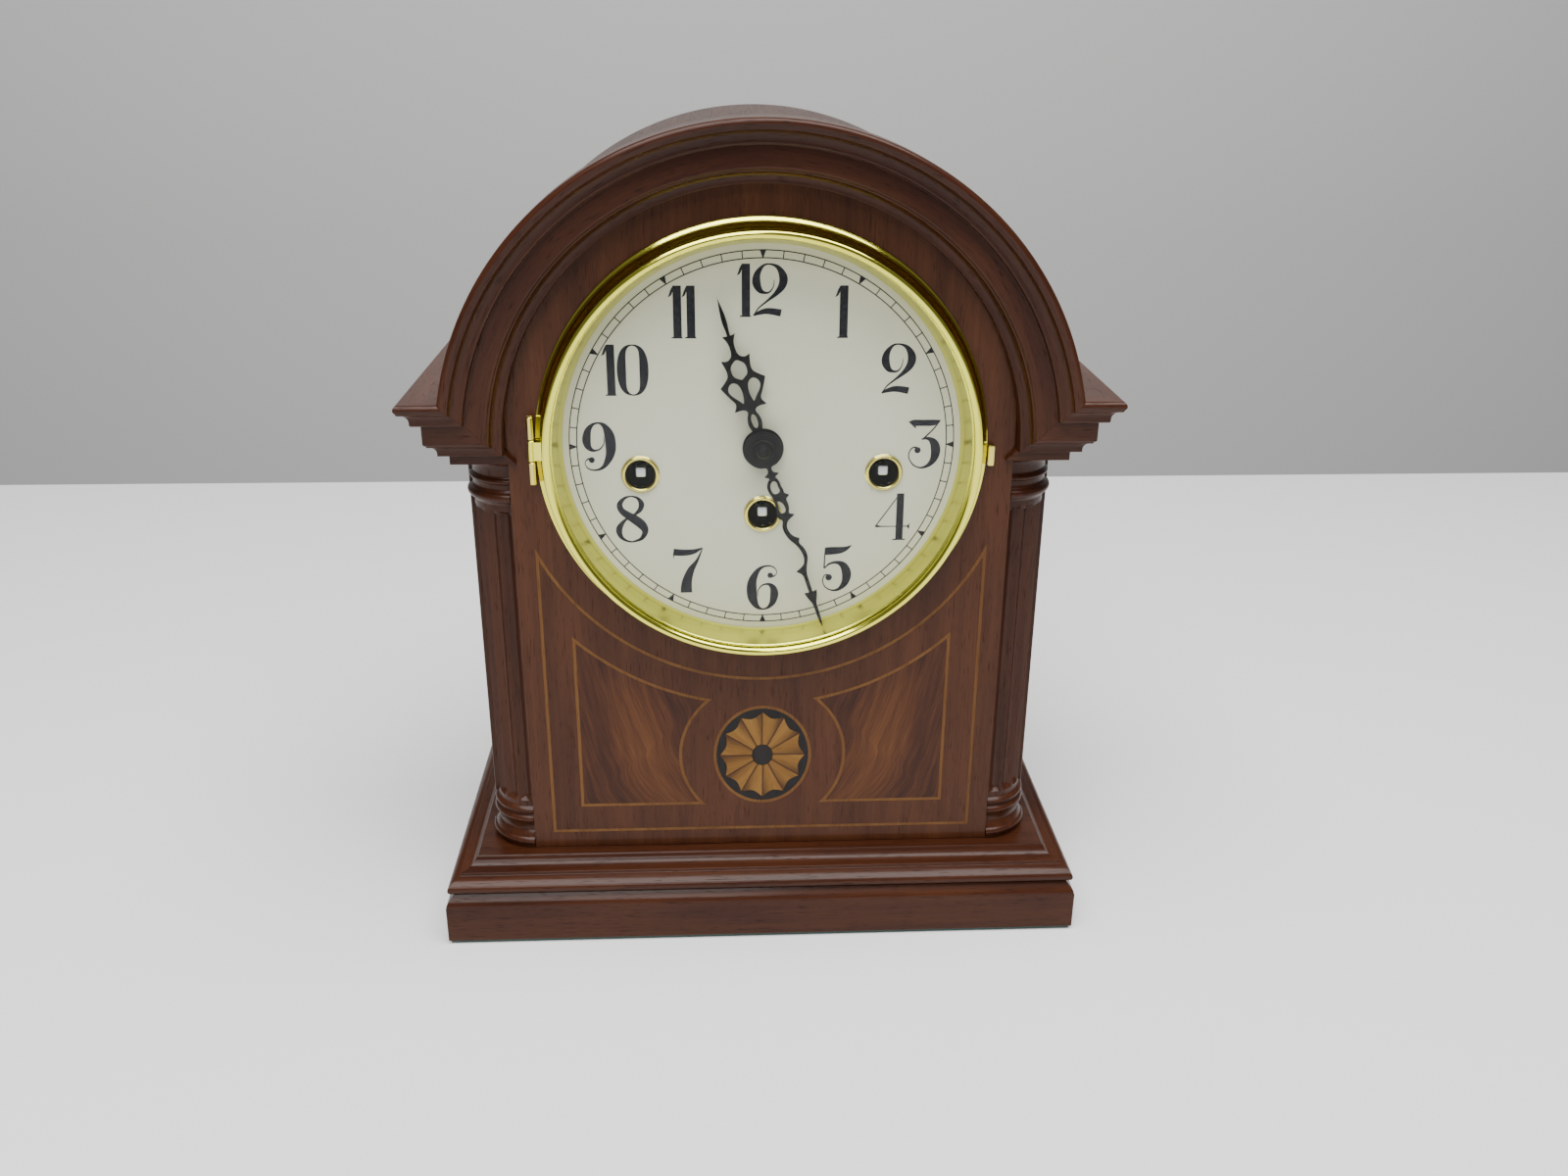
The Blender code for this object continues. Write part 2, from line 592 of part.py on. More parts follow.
def wheel_mesh(x, z, parts, bore=0.0):
    """Arbor with wheels: each part is (radius, teeth or 0, first back, last back)."""
    count = max(2 * teeth for radius, teeth, start, end in parts)
    rings = []
    for radius, teeth, start, end in parts:
        for back in (start, end):
            ring = []
            for i in range(count):
                a = math.tau * i / count
                depth = TOOTH_HALF * (1.0 + math.cos(teeth * a)) if teeth else 0.0
                reach = radius - depth
                ring.append((x + reach * math.cos(a), back_y(back), z + reach * math.sin(a)))
            rings.append(ring)
    if bore:
        for back in (parts[-1][3], parts[0][2]):
            rings.append(plain_ring(x, z, bore, count, back))
    return loft_mesh(rings, closed=bool(bore))


def make_motion_work():
    """Cannon pinion and centre arbor, minute wheel and hour wheel, geared twelve to one."""
    pivot = (0.0, back_y(0.0), DIAL_Z)
    cannon = [(1.9, 0, MINUTE_BACK, 9.5), (3.4, 8, 9.5, 13.0), (1.9, 0, 13.0, 53.4), (8.5, 7, 53.4, 55.2),
              (1.9, 0, 55.2, 60.4)]
    add_object("cannon_pinion", wheel_mesh(0.0, DIAL_Z, cannon), "steel", pivot, smooth=True)
    hour = [(3.7, 0, HOUR_BACK, 5.6), (9.8, 24, 5.6, 6.8)]
    add_object("hour_wheel", wheel_mesh(0.0, DIAL_Z, hour, 2.4), "movement_brass", pivot, smooth=True)
    x, z = MINUTE_WHEEL_AT[0], DIAL_Z + MINUTE_WHEEL_AT[1]
    minute = [(1.2, 0, 4.4, 5.3), (2.0, 6, 5.3, 9.2), (8.3, 24, 10.4, 11.6), (1.2, 0, 11.6, 16.4)]
    add_object("minute_wheel", wheel_mesh(x, z, minute), "movement_brass", (x, back_y(0.0), z), smooth=True)


def make_trains():
    for train, (x, z) in wind_points().items():
        pivot = (x, back_y(0.0), z)
        if train == "time":
            drum = [(26.0, 26, 21.0, 22.6), (21.5, 0, 22.6, 52.0)]
        else:
            drum = [(21.0, 0, 24.0, 50.6), (23.4, 24, 50.6, 52.2)]
        barrel = wheel_mesh(x, z, drum, 3.4)
        add_object(f"spring_barrel_{train}", barrel, "movement_brass", pivot, smooth=True)
        count = 32
        rings = [square_ring(x, z, 2.3, count, back) for back in (5.2, 10.0)]
        rings += [plain_ring(x, z, 3.0, count, back) for back in (10.0, 12.6)]
        rings += [toothed(x, z, 8.6, 9.8, count // 2, back) for back in (12.6, 14.4)]
        rings += [plain_ring(x, z, 3.0, count, back) for back in (14.4, 54.0)]
        rings += [plain_ring(x, z, 2.0, count, back) for back in (54.0, 60.0)]
        add_object(f"winding_arbor_{train}", loft_mesh(rings), "steel", pivot)
    x, z = INTERMEDIATE_AT[0], DIAL_Z + INTERMEDIATE_AT[1]
    train = [(1.2, 0, 17.4, 20.8), (3.7, 4, 20.8, 22.8), (1.2, 0, 22.8, 53.6), (21.3, 18, 53.6, 55.0),
             (1.2, 0, 55.0, 58.4)]
    wheel = wheel_mesh(x, z, train)
    add_object("intermediate_wheel", wheel, "movement_brass", (x, back_y(0.0), z), smooth=True)


def make_plates():
    """Two brass plates held apart by four pillars and screwed behind the front panel."""
    outline = [(-PLATE_HALF, PLATE_LOW), (PLATE_HALF, PLATE_LOW), (PLATE_HALF, PLATE_HIGH),
               (-PLATE_HALF, PLATE_HIGH)]
    pivots = [circle(0.0, DIAL_Z, 2.6, 12)]
    pivots += [circle(INTERMEDIATE_AT[0], DIAL_Z + INTERMEDIATE_AT[1], 1.7, 8)]
    front = pivots + [circle(x, z, 3.6, 12) for x, z in wind_points().values()]
    rear = pivots + [circle(x, z, 2.6, 12) for x, z in wind_points().values()]
    add_object("front_plate", plate_mesh(outline, FRONT_PLATE, PLATE_THICK, front), "movement_brass")
    add_object("back_plate", plate_mesh(outline, BACK_PLATE, PLATE_THICK, rear), "movement_brass")
    start, end = FRONT_PLATE + PLATE_THICK + GAP, BACK_PLATE - GAP
    corners = {"low_left": (-1, PLATE_LOW + 7), "low_right": (1, PLATE_LOW + 7),
               "high_left": (-1, PLATE_HIGH - 7), "high_right": (1, PLATE_HIGH - 7)}
    waist = [(0.0, start), (PILLAR_R, start), (PILLAR_R, start + 3.0), (2.6, start + 4.0), (2.6, end - 4.0),
             (PILLAR_R, end - 3.0), (PILLAR_R, end), (0.0, end)]
    for corner, (side, z) in corners.items():
        pillar = turned_mesh(waist, side * (PLATE_HALF - 7), z, 12)
        add_object(f"pillar_{corner}", pillar, "movement_brass", smooth=True)


def make_balance():
    x, z = BALANCE_AT[0], DIAL_Z + BALANCE_AT[1]
    plate = box_mesh((x - 14.0, x + 14.0), (back_y(59.3), back_y(61.0)), (z - 12.0, z + 12.0))
    bridge = add_object("balance_bridge", plate, "movement_brass")
    post = box_mesh((x - 14.0, x - 10.5), (back_y(60.0), back_y(69.0)), (z - 2.5, z + 2.5))
    cock = box_mesh((x - 13.0, x + 2.5), (back_y(67.0), back_y(69.0)), (z - 2.5, z + 2.5))
    boolean(bridge, add_object("balance_post", post, "movement_brass"), "UNION")
    boolean(bridge, add_object("balance_cock", cock, "movement_brass"), "UNION")
    section = [(0.0, 61.4), (0.9, 61.4), (0.9, 63.4), (6.6, 63.4), (6.6, 62.6), (9.0, 62.6), (9.0, 65.0),
               (6.6, 65.0), (6.6, 64.2), (0.9, 64.2), (0.9, 66.6), (0.0, 66.6)]
    rim = turned_mesh(section, x, z, 24)
    add_object("balance_wheel", rim, "movement_brass", (x, back_y(0.0), z), smooth=True)


def make_chime():
    """Iron block with tuned rods, the hammers above them and the drum that lifts the hammers."""
    ends = FIRST_NOTE - 7.0, FIRST_NOTE + NOTE_PITCH * (CHIME_NOTES - 1) + 7.0
    block = box_mesh((-108.0, -88.0), (back_y(ends[0]), back_y(ends[1])), (BASE_TOP + GAP, ROD_Z + 7.0))
    add_object("chime_block", block, "cast_iron")
    plate = box_mesh((46.0, 80.0), (back_y(59.3), back_y(60.9)), (HAMMER_Z - 8.0, 182.0))
    carrier = add_object("hammer_bracket", plate, "steel")
    section = [(0.0, 60.2), (1.5, 60.2), (1.5, ends[1] + 1.0), (0.0, ends[1] + 1.0)]
    pin = turned_mesh(section, HAMMER_X, HAMMER_Z, 12)
    boolean(carrier, add_object("hammer_pin", pin, "steel"), "UNION")
    hole = turned_mesh([(0.0, 58.0), (2.0, 58.0), (2.0, 62.0), (0.0, 62.0)], DRUM_X, DRUM_Z, 12)
    boolean(carrier, add_object("drum_hole", hole, "steel"))

    drum = [(1.5, 0, 59.0, FIRST_NOTE - 4.5), (5.0, 0, FIRST_NOTE - 4.5, FIRST_NOTE - 3.0)]
    for note in range(CHIME_NOTES):
        back = FIRST_NOTE + note * NOTE_PITCH
        rod = [(0.0, -87.7), (ROD_R, -87.7), (ROD_R, 30.0 + 6.0 * note), (0.0, 30.0 + 6.0 * note)]
        bm = turned_mesh(rod, 0.0, 0.0, 10)
        turn = Matrix.Rotation(math.radians(-90.0), 4, "Z")
        bmesh.ops.transform(bm, matrix=turn @ Matrix.Translation((0.0, -FACE_Y, 0.0)), verts=bm.verts)
        bmesh.ops.translate(bm, verts=bm.verts, vec=(0.0, back_y(back), ROD_Z))
        add_object(f"chime_rod_{note + 1}", bm, "steel", smooth=True)
        make_hammer(note, back)
        drum += [(8.2, 3, back - 2.0, back + 2.0), (5.0, 0, back + 2.0, back + 3.5)]
    pivot = (DRUM_X, back_y(0.0), DRUM_Z)
    add_object("chime_drum", wheel_mesh(DRUM_X, DRUM_Z, drum), "movement_brass", pivot, smooth=True)


def make_hammer(note, back):
    """Lever on the hammer pin: a tail under the drum, an arm, and a hanging head."""
    arm = [(-4.0, 3.0), (-47.0, 1.5), (-47.0, -40.0), (-44.0, -40.0), (-44.0, -2.0)]
    arm += [(-4.0, -3.5), (4.0, -3.0), (15.0, 1.0), (15.0, 3.5), (4.0, 3.0)]
    outline = [(HAMMER_X + x, HAMMER_Z + z) for x, z in arm]
    lever = plate_mesh(outline, back - 1.0, 2.0, [circle(HAMMER_X, HAMMER_Z, 1.9, 12)])
    pivot = (HAMMER_X, back_y(back), HAMMER_Z)
    hammer = add_object(f"chime_hammer_{note + 1}", lever, "steel", pivot)
    head = bmesh.new()
    length = 16.0
    middle = (HAMMER_X - 45.5, back_y(back), ROD_Z + HAMMER_REST + length / 2.0)
    bmesh.ops.create_cone(head, cap_ends=True, segments=12, radius1=2.6, radius2=3.2, depth=length,
                          matrix=Matrix.Translation(middle))
    boolean(hammer, add_object(f"hammer_head_{note + 1}", head, "steel"), "UNION")


def build():
    clear_scene()
    make_base()
    make_front_panel()
    make_inlay()
    make_side_panels()
    for side, word in ((-1, "left"), (1, "right")):
        make_column(side, f"column_{word}")
        make_cornice(side, f"cornice_{word}")
    make_arch_moulding()
    make_roof()
    make_back()
    make_dial()
    make_bezel()
    make_bezel_hinge()
    make_hands()
    make_motion_work()
    make_trains()
    make_plates()
    make_balance()
    make_chime()


build()
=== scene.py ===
import json
import math
import random

import bmesh
import bpy
from mathutils import Matrix, Vector


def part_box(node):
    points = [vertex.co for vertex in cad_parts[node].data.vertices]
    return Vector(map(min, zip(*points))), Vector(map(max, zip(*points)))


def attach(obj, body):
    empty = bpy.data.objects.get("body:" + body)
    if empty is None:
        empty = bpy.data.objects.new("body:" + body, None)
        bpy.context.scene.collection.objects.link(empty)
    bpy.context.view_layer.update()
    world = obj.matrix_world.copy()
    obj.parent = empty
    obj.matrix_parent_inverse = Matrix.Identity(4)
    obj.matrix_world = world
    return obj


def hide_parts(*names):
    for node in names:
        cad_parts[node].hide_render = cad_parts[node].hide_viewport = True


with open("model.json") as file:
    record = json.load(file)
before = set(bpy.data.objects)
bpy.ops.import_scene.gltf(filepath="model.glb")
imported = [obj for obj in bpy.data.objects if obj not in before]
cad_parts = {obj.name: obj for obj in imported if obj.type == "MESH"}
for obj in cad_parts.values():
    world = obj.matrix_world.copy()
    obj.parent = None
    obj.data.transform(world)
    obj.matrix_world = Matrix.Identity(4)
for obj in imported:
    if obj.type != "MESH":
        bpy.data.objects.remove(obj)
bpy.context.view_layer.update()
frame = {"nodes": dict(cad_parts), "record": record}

MM = 0.001
GAP = 0.3
draw = random.Random(11)


def span(node):
    low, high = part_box(node)
    return low / MM, high / MM


# Driving dimensions, from the frame
FACE_Y = span("front_panel")[0].y
PANEL_THICK = span("front_panel")[1].y - FACE_Y
DIAL_Z = (span("dial")[0].z + span("dial")[1].z) / 2.0
DIAL_R = span("dial")[1].x
DIAL_BACK = span("dial")[0].y - FACE_Y
CASE_HALF = span("side_panel_right")[1].x
SIDE_THICK = CASE_HALF - span("side_panel_right")[0].x
CASE_BACK = span("back_frame")[1].y - FACE_Y
COLUMN_X = span("column_right")[0].x
COLUMN_BACK = span("side_panel_right")[0].y - FACE_Y - GAP
PANEL_HALF = COLUMN_X - GAP
FELT_TOP = span("felt_base")[1].z
PLINTH_TOP = span("plinth")[1].z
BASE_TOP = span("base_moulding")[1].z
ABACUS_LOW, SHELF_TOP = span("cornice_right")[0].z, span("cornice_right")[1].z
ARCH_R = span("arch_moulding")[1].z - DIAL_Z
ROOF_R = span("barrel_roof")[1].z - DIAL_Z
ROOF_IN_R = span("back_frame")[1].z - DIAL_Z + GAP
DOOR_HALF, DOOR_LOW = span("back_door")[1].x, span("back_door")[0].z
DOOR_R = span("back_door")[1].z - DIAL_Z
DOOR_THICK = CASE_BACK - (span("back_door")[0].y - FACE_Y)
FRAME_THICK = CASE_BACK - (span("back_frame")[0].y - FACE_Y)
KNOB_X = (span("door_knob")[0].x + span("door_knob")[1].x) / 2.0
KNOB_Z = (span("door_knob")[0].z + span("door_knob")[1].z) / 2.0
STRING_X, STRING_LOW = span("outer_stringing")[1].x, span("outer_stringing")[0].z
VENEER_X, VENEER_LOW = span("inlay_panel_right")[1].x, span("inlay_panel_right")[0].z
MEDALLION_LOW, MEDALLION_HIGH = span("medallion")
WIND_POINTS = {}
for train in ("strike", "time", "chime"):
    low, high = span(f"winding_eyelet_{train}")
    WIND_POINTS[train] = ((low.x + high.x) / 2.0, (low.z + high.z) / 2.0)

# Inlay
INLAY_DEEP = 0.6
STRING_WIDE = 1.4
GLUE_LINE = 0.05
STRING_R = 108.3               # outer edge of the border's curve, about the dial
VENEER_R = 119.9
VENEER_INNER_R = 36.8          # about the medallion
PETALS = 12

# Bezel hinge
HINGE_BACK = -3.2
HINGE_R = 1.3

# Hands
MINUTE_ANGLE = 162.0           # degrees clockwise from twelve
HOUR_ANGLE = 343.5
MINUTE_BACK = span("minute_hand")[0].y - FACE_Y
HOUR_BACK = span("hour_hand")[0].y - FACE_Y
HAND_THICK = 0.8

ROUND = 160                    # steps in a full turn of the dial's rings


# ---------------------------------------------------------------- camera

def set_camera():
    data = bpy.data.cameras.new("camera")
    data.sensor_width = 36.0
    data.lens = 31.03
    camera = bpy.data.objects.new("camera", data)
    turn = Matrix.Rotation(math.radians(-3.03), 4, "Z")
    tilt = Matrix.Rotation(math.radians(90.0 - 22.535), 4, "X")
    roll = Matrix.Rotation(math.radians(0.474), 4, "Z")
    camera.matrix_world = Matrix.Translation((-0.01948, -0.60155, 0.39526)) @ turn @ tilt @ roll
    bpy.context.scene.collection.objects.link(camera)
    bpy.context.scene.camera = camera


# ---------------------------------------------------------------- finishes

class Value:
    """One output in a finish, so that shader sums are written as sums."""

    def __init__(self, finish, socket):
        self.finish = finish
        self.socket = socket

    def math(self, operation, *others):
        inputs = dict(enumerate((self, *others)))
        return self.finish.node("ShaderNodeMath", {"operation": operation}, inputs)

    def __add__(self, other):
        return self.math("ADD", other)

    def __sub__(self, other):
        return self.math("SUBTRACT", other)

    def __rsub__(self, other):
        return self.finish.node("ShaderNodeMath", {"operation": "SUBTRACT"}, {0: other, 1: self})

    def __mul__(self, other):
        return self.math("MULTIPLY", other)

    def __truediv__(self, other):
        return self.math("DIVIDE", other)

    def __pow__(self, other):
        return self.math("POWER", other)

    def above(self, low, high):
        """0 below low, 1 above high, smooth between."""
        return self.finish.node("ShaderNodeMapRange", {"interpolation_type": "SMOOTHSTEP"},
                                {"Value": self, "From Min": low, "From Max": high})

    __radd__ = __add__
    __rmul__ = __mul__


class Finish:
    """A material, and the nodes that give it its surface."""

    def __init__(self, name, **constants):
        self.material = bpy.data.materials.new(name)
        self.material.use_nodes = True
        self.tree = self.material.node_tree
        self.shader = self.tree.nodes["Principled BSDF"]
        for socket, value in constants.items():
            self.shader.inputs[socket.replace("_", " ")].default_value = value

    def node(self, kind, settings, inputs, output=0):
        made = self.tree.nodes.new(kind)
        for key, value in settings.items():
            if key == "stops":
                self.set_stops(made.color_ramp, value)
            else:
                setattr(made, key, value)
        for key, value in inputs.items():
            self.feed(made.inputs[key], value)
        return Value(self, made.outputs[output])

    def feed(self, socket, value):
        if isinstance(value, Value):
            self.tree.links.new(value.socket, socket)
        else:
            socket.default_value = value

    @staticmethod
    def set_stops(ramp, stops):
        while len(ramp.elements) < len(stops):
            ramp.elements.new(0.5)
        for element, (place, colour) in zip(ramp.elements, stops):
            element.position = place
            element.color = (*colour, 1.0)

    def surface(self, **links):
        for socket, value in links.items():
            self.feed(self.shader.inputs[socket.replace("_", " ")], value)

    def place(self, source="object", stretch=(1.0, 1.0, 1.0)):
        """Coordinates in metres: the object's, or the way the wood lies."""
        if source == "object":
            where = self.node("ShaderNodeTexCoord", {}, {}, "Object")
        else:
            where = self.node("ShaderNodeAttribute", {"attribute_name": source}, {}, "Vector")
        return self.node("ShaderNodeMapping", {}, {"Vector": where, "Scale": stretch})

    def noise(self, where, scale=1.0, detail=2.0, rough=0.5):
        inputs = {"Vector": where, "Scale": scale, "Detail": detail, "Roughness": rough}
        return self.node("ShaderNodeTexNoise", {}, inputs)

    def ramp(self, value, stops):
        return self.node("ShaderNodeValToRGB", {"stops": stops}, {0: value})

    def mix(self, share, first, second):
        first = first if isinstance(first, Value) else (*first, 1.0)
        second = second if isinstance(second, Value) else (*second, 1.0)
        return self.node("ShaderNodeMix", {"data_type": "RGBA"}, {0: share, 6: first, 7: second}, 2)

    def bump(self, height, depth, strength=1.0):
        return self.node("ShaderNodeBump", {}, {"Height": height, "Distance": depth, "Strength": strength})


def wood(name, dark, middle, light, pore, figure=0.5, open_grain=0.5, scorch=None, gloss=0.17):
    """Lacquered wood. The attribute "grain" runs along the fibres in x."""
    finish = Finish(name, Specular_IOR_Level=0.10, Coat_Roughness=0.14, Coat_IOR=1.5)
    sway = finish.noise(finish.place("grain", stretch=(5.0, 14.0, 14.0)), detail=2.0)
    wavy = finish.node("ShaderNodeVectorMath", {"operation": "MULTIPLY_ADD"},
                       {0: finish.node("ShaderNodeCombineXYZ", {}, {"Y": sway, "Z": sway}),
                        1: (0.0, 0.010, 0.010), 2: finish.place("grain")})

    def along(length, width):
        return finish.node("ShaderNodeVectorMath", {"operation": "MULTIPLY"},
                           {0: wavy, 1: (1.0 / length, 1.0 / width, 1.0 / width)})

    rings = finish.noise(along(0.35, 0.013), detail=3.0, rough=0.6)
    fibres = finish.noise(along(0.045, 0.0012), detail=3.0, rough=0.65)
    stripe = finish.noise(along(0.09, 0.0045), detail=2.0)
    cloud = finish.noise(along(0.07, 0.03), detail=1.0)
    pores = finish.noise(along(0.007, 0.00042), detail=1.0).above(0.60, 0.72)
    tone = rings * 0.40 + fibres * 0.24 + stripe * 0.22 + cloud * (0.14 + 0.2 * figure)
    spread = (tone - (0.43 + 0.1 * figure)) * 2.4 + 0.5
    colour = finish.ramp(spread, ((0.05, dark), (0.5, middle), (0.95, light)))
    colour = finish.mix(pores * open_grain, colour, pore)
    if scorch:
        burnt = finish.node("ShaderNodeAttribute", {"attribute_name": "scorch"}, {}, "Fac")
        colour = finish.mix((burnt + (fibres - 0.5) * 0.25).above(0.40, 1.0) * 0.85, colour, scorch)
    finish.surface(Base_Color=colour,
                   Roughness=fibres * 0.12 + 0.30 + pores * 0.15,
                   Coat_Weight=gloss - pores * (gloss * 0.7),
                   Normal=finish.bump(fibres * 0.35 + rings * 0.4 - pores * open_grain, 0.00006, 0.45))
    return finish.material


def flame_wood(name):
    """Figured veneer: a pale feather that sweeps across a dark ground."""
    finish = Finish(name, Specular_IOR_Level=0.10, Coat_Roughness=0.14, Coat_IOR=1.5)
    lie = finish.place("grain")
    parts = finish.node("ShaderNodeSeparateXYZ", {}, {0: lie}).socket.node
    down, over = Value(finish, parts.outputs[0]), Value(finish, parts.outputs[1])
    sway = finish.noise(finish.place("grain", stretch=(16.0, 40.0, 1.0)), detail=3.0)
    across = over + (sway - 0.5) * 0.008
    fan = finish.node("ShaderNodeCombineXYZ", {}, {"X": down * 22.0, "Y": across * 260.0})
    fine = finish.node("ShaderNodeCombineXYZ", {}, {"X": down * 60.0, "Y": across * 1300.0})
    streaks = finish.noise(fan, detail=5.0, rough=0.7)
    fibres = finish.noise(fine, detail=2.0, rough=0.6)
    centre = 1.0 - ((across / 0.016) ** 2.0).math("MINIMUM", 1.0)
    ends = 1.0 - ((down / 0.050) ** 2.0).math("MINIMUM", 1.0)
    feather = (centre * ends) ** 0.7
    tone = streaks * 0.70 + feather * 0.20 + fibres * 0.34 - 0.15
    colour = finish.ramp(tone, ((0.26, (0.025, 0.0072, 0.0030)), (0.42, (0.050, 0.0150, 0.0055)),
                                (0.60, (0.088, 0.0300, 0.0088)), (0.82, (0.150, 0.0580, 0.0150))))
    finish.surface(Base_Color=colour, Roughness=fibres * 0.12 + 0.30, Coat_Weight=0.15 + streaks * 0.04,
                   Normal=finish.bump(fibres, 0.00004, 0.4))
    return finish.material


def brass(name, colour, shade, rough, scratch=0.4, brushed=(900.0, 900.0, 900.0)):
    """Lacquered brass with fine handling marks and a little darker bloom."""
    finish = Finish(name, Metallic=1.0)
    bloom = finish.noise(finish.place(), 26.0, 4.0, 0.6)
    marks = finish.noise(finish.place(stretch=brushed), 1.0, 3.0, 0.7)
    specks = finish.noise(finish.place(), 1400.0, 1.0).above(0.70, 0.78)
    tint = finish.mix(bloom.above(0.40, 0.75) * 0.55, colour, shade)
    finish.surface(Base_Color=finish.mix(specks * 0.35, tint, tuple(c * 0.5 for c in shade)),
                   Roughness=bloom * 0.10 + marks * scratch * 0.25 + (rough - 0.04),
                   Normal=finish.bump(marks, 0.00002, scratch))
    return finish.material


def steel(name, colour, rough):
    finish = Finish(name, Metallic=1.0)
    drawn = finish.noise(finish.place(stretch=(140.0, 2600.0, 2600.0)), 1.0, 2.0)
    stain = finish.noise(finish.place(), 60.0, 3.0, 0.6)
    finish.surface(Base_Color=finish.mix(stain.above(0.5, 0.8), colour, tuple(c * 0.62 for c in colour)),
                   Roughness=drawn * 0.16 + stain * 0.1 + rough, Normal=finish.bump(drawn, 0.00002, 0.4))
    return finish.material


def blued_steel(name):
    """Satin black of the hands, thinner and browner where it has been touched."""
    finish = Finish(name, Metallic=0.3, Specular_IOR_Level=0.2, Coat_Roughness=0.2)
    worn = finish.noise(finish.place(), 420.0, 3.0, 0.6)
    grit = finish.noise(finish.place(), 1500.0, 1.0)
    colour = finish.mix(worn.above(0.45, 0.8), (0.0035, 0.0035, 0.004), (0.010, 0.008, 0.007))
    finish.surface(Base_Color=colour, Roughness=worn * 0.18 + 0.30, Coat_Weight=0.04 + worn * 0.05,
                   Normal=finish.bump(grit, 0.000004, 0.3))
    return finish.material


def cast_iron(name):
    finish = Finish(name, Metallic=0.2)
    lumps = finish.noise(finish.place(), 900.0, 4.0, 0.7)
    paint = finish.noise(finish.place(), 90.0, 2.0)
    finish.surface(Base_Color=finish.mix(paint.above(0.4, 0.7), (0.018, 0.018, 0.020), (0.038, 0.036, 0.036)),
                   Roughness=lumps * 0.25 + 0.45, Normal=finish.bump(lumps, 0.00025, 0.8))
    return finish.material


def dial_enamel(name):
    """Matt cream face with the faint orange peel of sprayed enamel."""
    finish = Finish(name, Coat_Roughness=0.4)
    peel = finish.noise(finish.place(), 900.0, 2.0)
    age = finish.noise(finish.place(), 11.0, 3.0, 0.55)
    colour = finish.ramp(age, ((0.30, (0.560, 0.553, 0.425)), (0.70, (0.600, 0.593, 0.470))))
    finish.surface(Base_Color=colour, Roughness=peel * 0.12 + 0.42, Coat_Weight=age * 0.12,
                   Normal=finish.bump(peel, 0.00001, 0.35))
    return finish.material


def dial_ink(name):
    """Printed black, a little uneven where the ink lies thin."""
    finish = Finish(name, Specular_IOR_Level=0.2)
    thin = finish.noise(finish.place(), 700.0, 3.0, 0.6)
    finish.surface(Base_Color=finish.mix(thin.above(0.4, 0.8), (0.008, 0.008, 0.012), (0.026, 0.025, 0.034)),
                   Roughness=thin * 0.2 + 0.42)
    return finish.material


def felt(name):
    finish = Finish(name, Sheen_Weight=0.5, Sheen_Roughness=0.5)
    wool = finish.noise(finish.place(), 2200.0, 4.0, 0.8)
    tuft = finish.noise(finish.place(), 300.0, 2.0)
    colour = finish.mix(tuft, (0.012, 0.045, 0.036), (0.030, 0.085, 0.066))
    finish.surface(Base_Color=colour, Roughness=wool * 0.1 + 0.86, Normal=finish.bump(wool, 0.0003, 0.9))
    return finish.material


def clear_glass(name):
    """Thin pane: what it mirrors grows towards its edge, and the rest passes straight through."""
    finish = Finish(name)
    tree = finish.tree
    tree.nodes.remove(finish.shader)
    smear = finish.noise(finish.place(), 30.0, 3.0, 0.6)
    mirror = finish.node("ShaderNodeBsdfAnisotropic", {}, {"Color": (0.95, 0.97, 0.96, 1.0),
                                                           "Roughness": smear * 0.05 + 0.01})
    clear = finish.node("ShaderNodeBsdfTransparent", {}, {"Color": (0.985, 0.992, 0.985, 1.0)})
    slant = finish.node("ShaderNodeLayerWeight", {}, {"Blend": 0.5}, "Facing")
    share = slant ** 5.0 * 0.55 + smear * 0.004 + 0.005
    pane = finish.node("ShaderNodeMixShader", {}, {0: share, 1: clear, 2: mirror})
    tree.links.new(pane.socket, tree.nodes["Material Output"].inputs["Surface"])
    return finish.material


def pale_ground(name, colour, other):
    finish = Finish(name, Roughness=0.75)
    drift = finish.noise(finish.place(), 1.4, 3.0)
    finish.surface(Base_Color=finish.mix(drift, colour, other))
    return finish.material


# Woods: darkest, middle and lightest tone, then the open pores
MAHOGANY = wood("mahogany", (0.0155, 0.0037, 0.0018), (0.0305, 0.0083, 0.0034),
                (0.0530, 0.0163, 0.0064), (0.0065, 0.0017, 0.0010), 0.3, 0.6)
# Roof mahogany: every tone darkened by about a sixth as painted shade on the roof top, with a real satin
# finish of low gloss.
ROOF_WOOD_SHADED = wood("mahogany_roof_painted_shade", (0.0130, 0.0031, 0.0015), (0.0255, 0.0070, 0.0028),
                 (0.0440, 0.0136, 0.0053), (0.0055, 0.0014, 0.0008), 0.3, 0.6, None, 0.04)
PANEL_WOOD = wood("mahogany_veneer", (0.0250, 0.0066, 0.0030), (0.0450, 0.0138, 0.0054),
                  (0.0720, 0.0240, 0.0092), (0.0100, 0.0026, 0.0013), 0.4, 0.5)
FLAME = flame_wood("flame_veneer")
STRING_WOOD = wood("light_inlay", (0.066, 0.0235, 0.005), (0.100, 0.039, 0.0085),
                   (0.140, 0.061, 0.0155), (0.045, 0.015, 0.003), 0.2, 0.4)
PETAL_WOOD = wood("petal_inlay", (0.100, 0.042, 0.007), (0.160, 0.072, 0.013),
                  (0.230, 0.115, 0.024), (0.060, 0.022, 0.005), 0.3, 0.4, (0.030, 0.010, 0.004))
DARK_WOOD = wood("dark_inlay", (0.004, 0.0035, 0.004), (0.008, 0.0065, 0.0065),
                 (0.014, 0.011, 0.010), (0.002, 0.0015, 0.0015), 0.2, 0.4)
SCORCHED_WOOD = wood("scorched_inlay", (0.020, 0.006, 0.0025), (0.040, 0.013, 0.005),
                     (0.060, 0.020, 0.008), (0.010, 0.003, 0.0015), 0.2, 0.4)

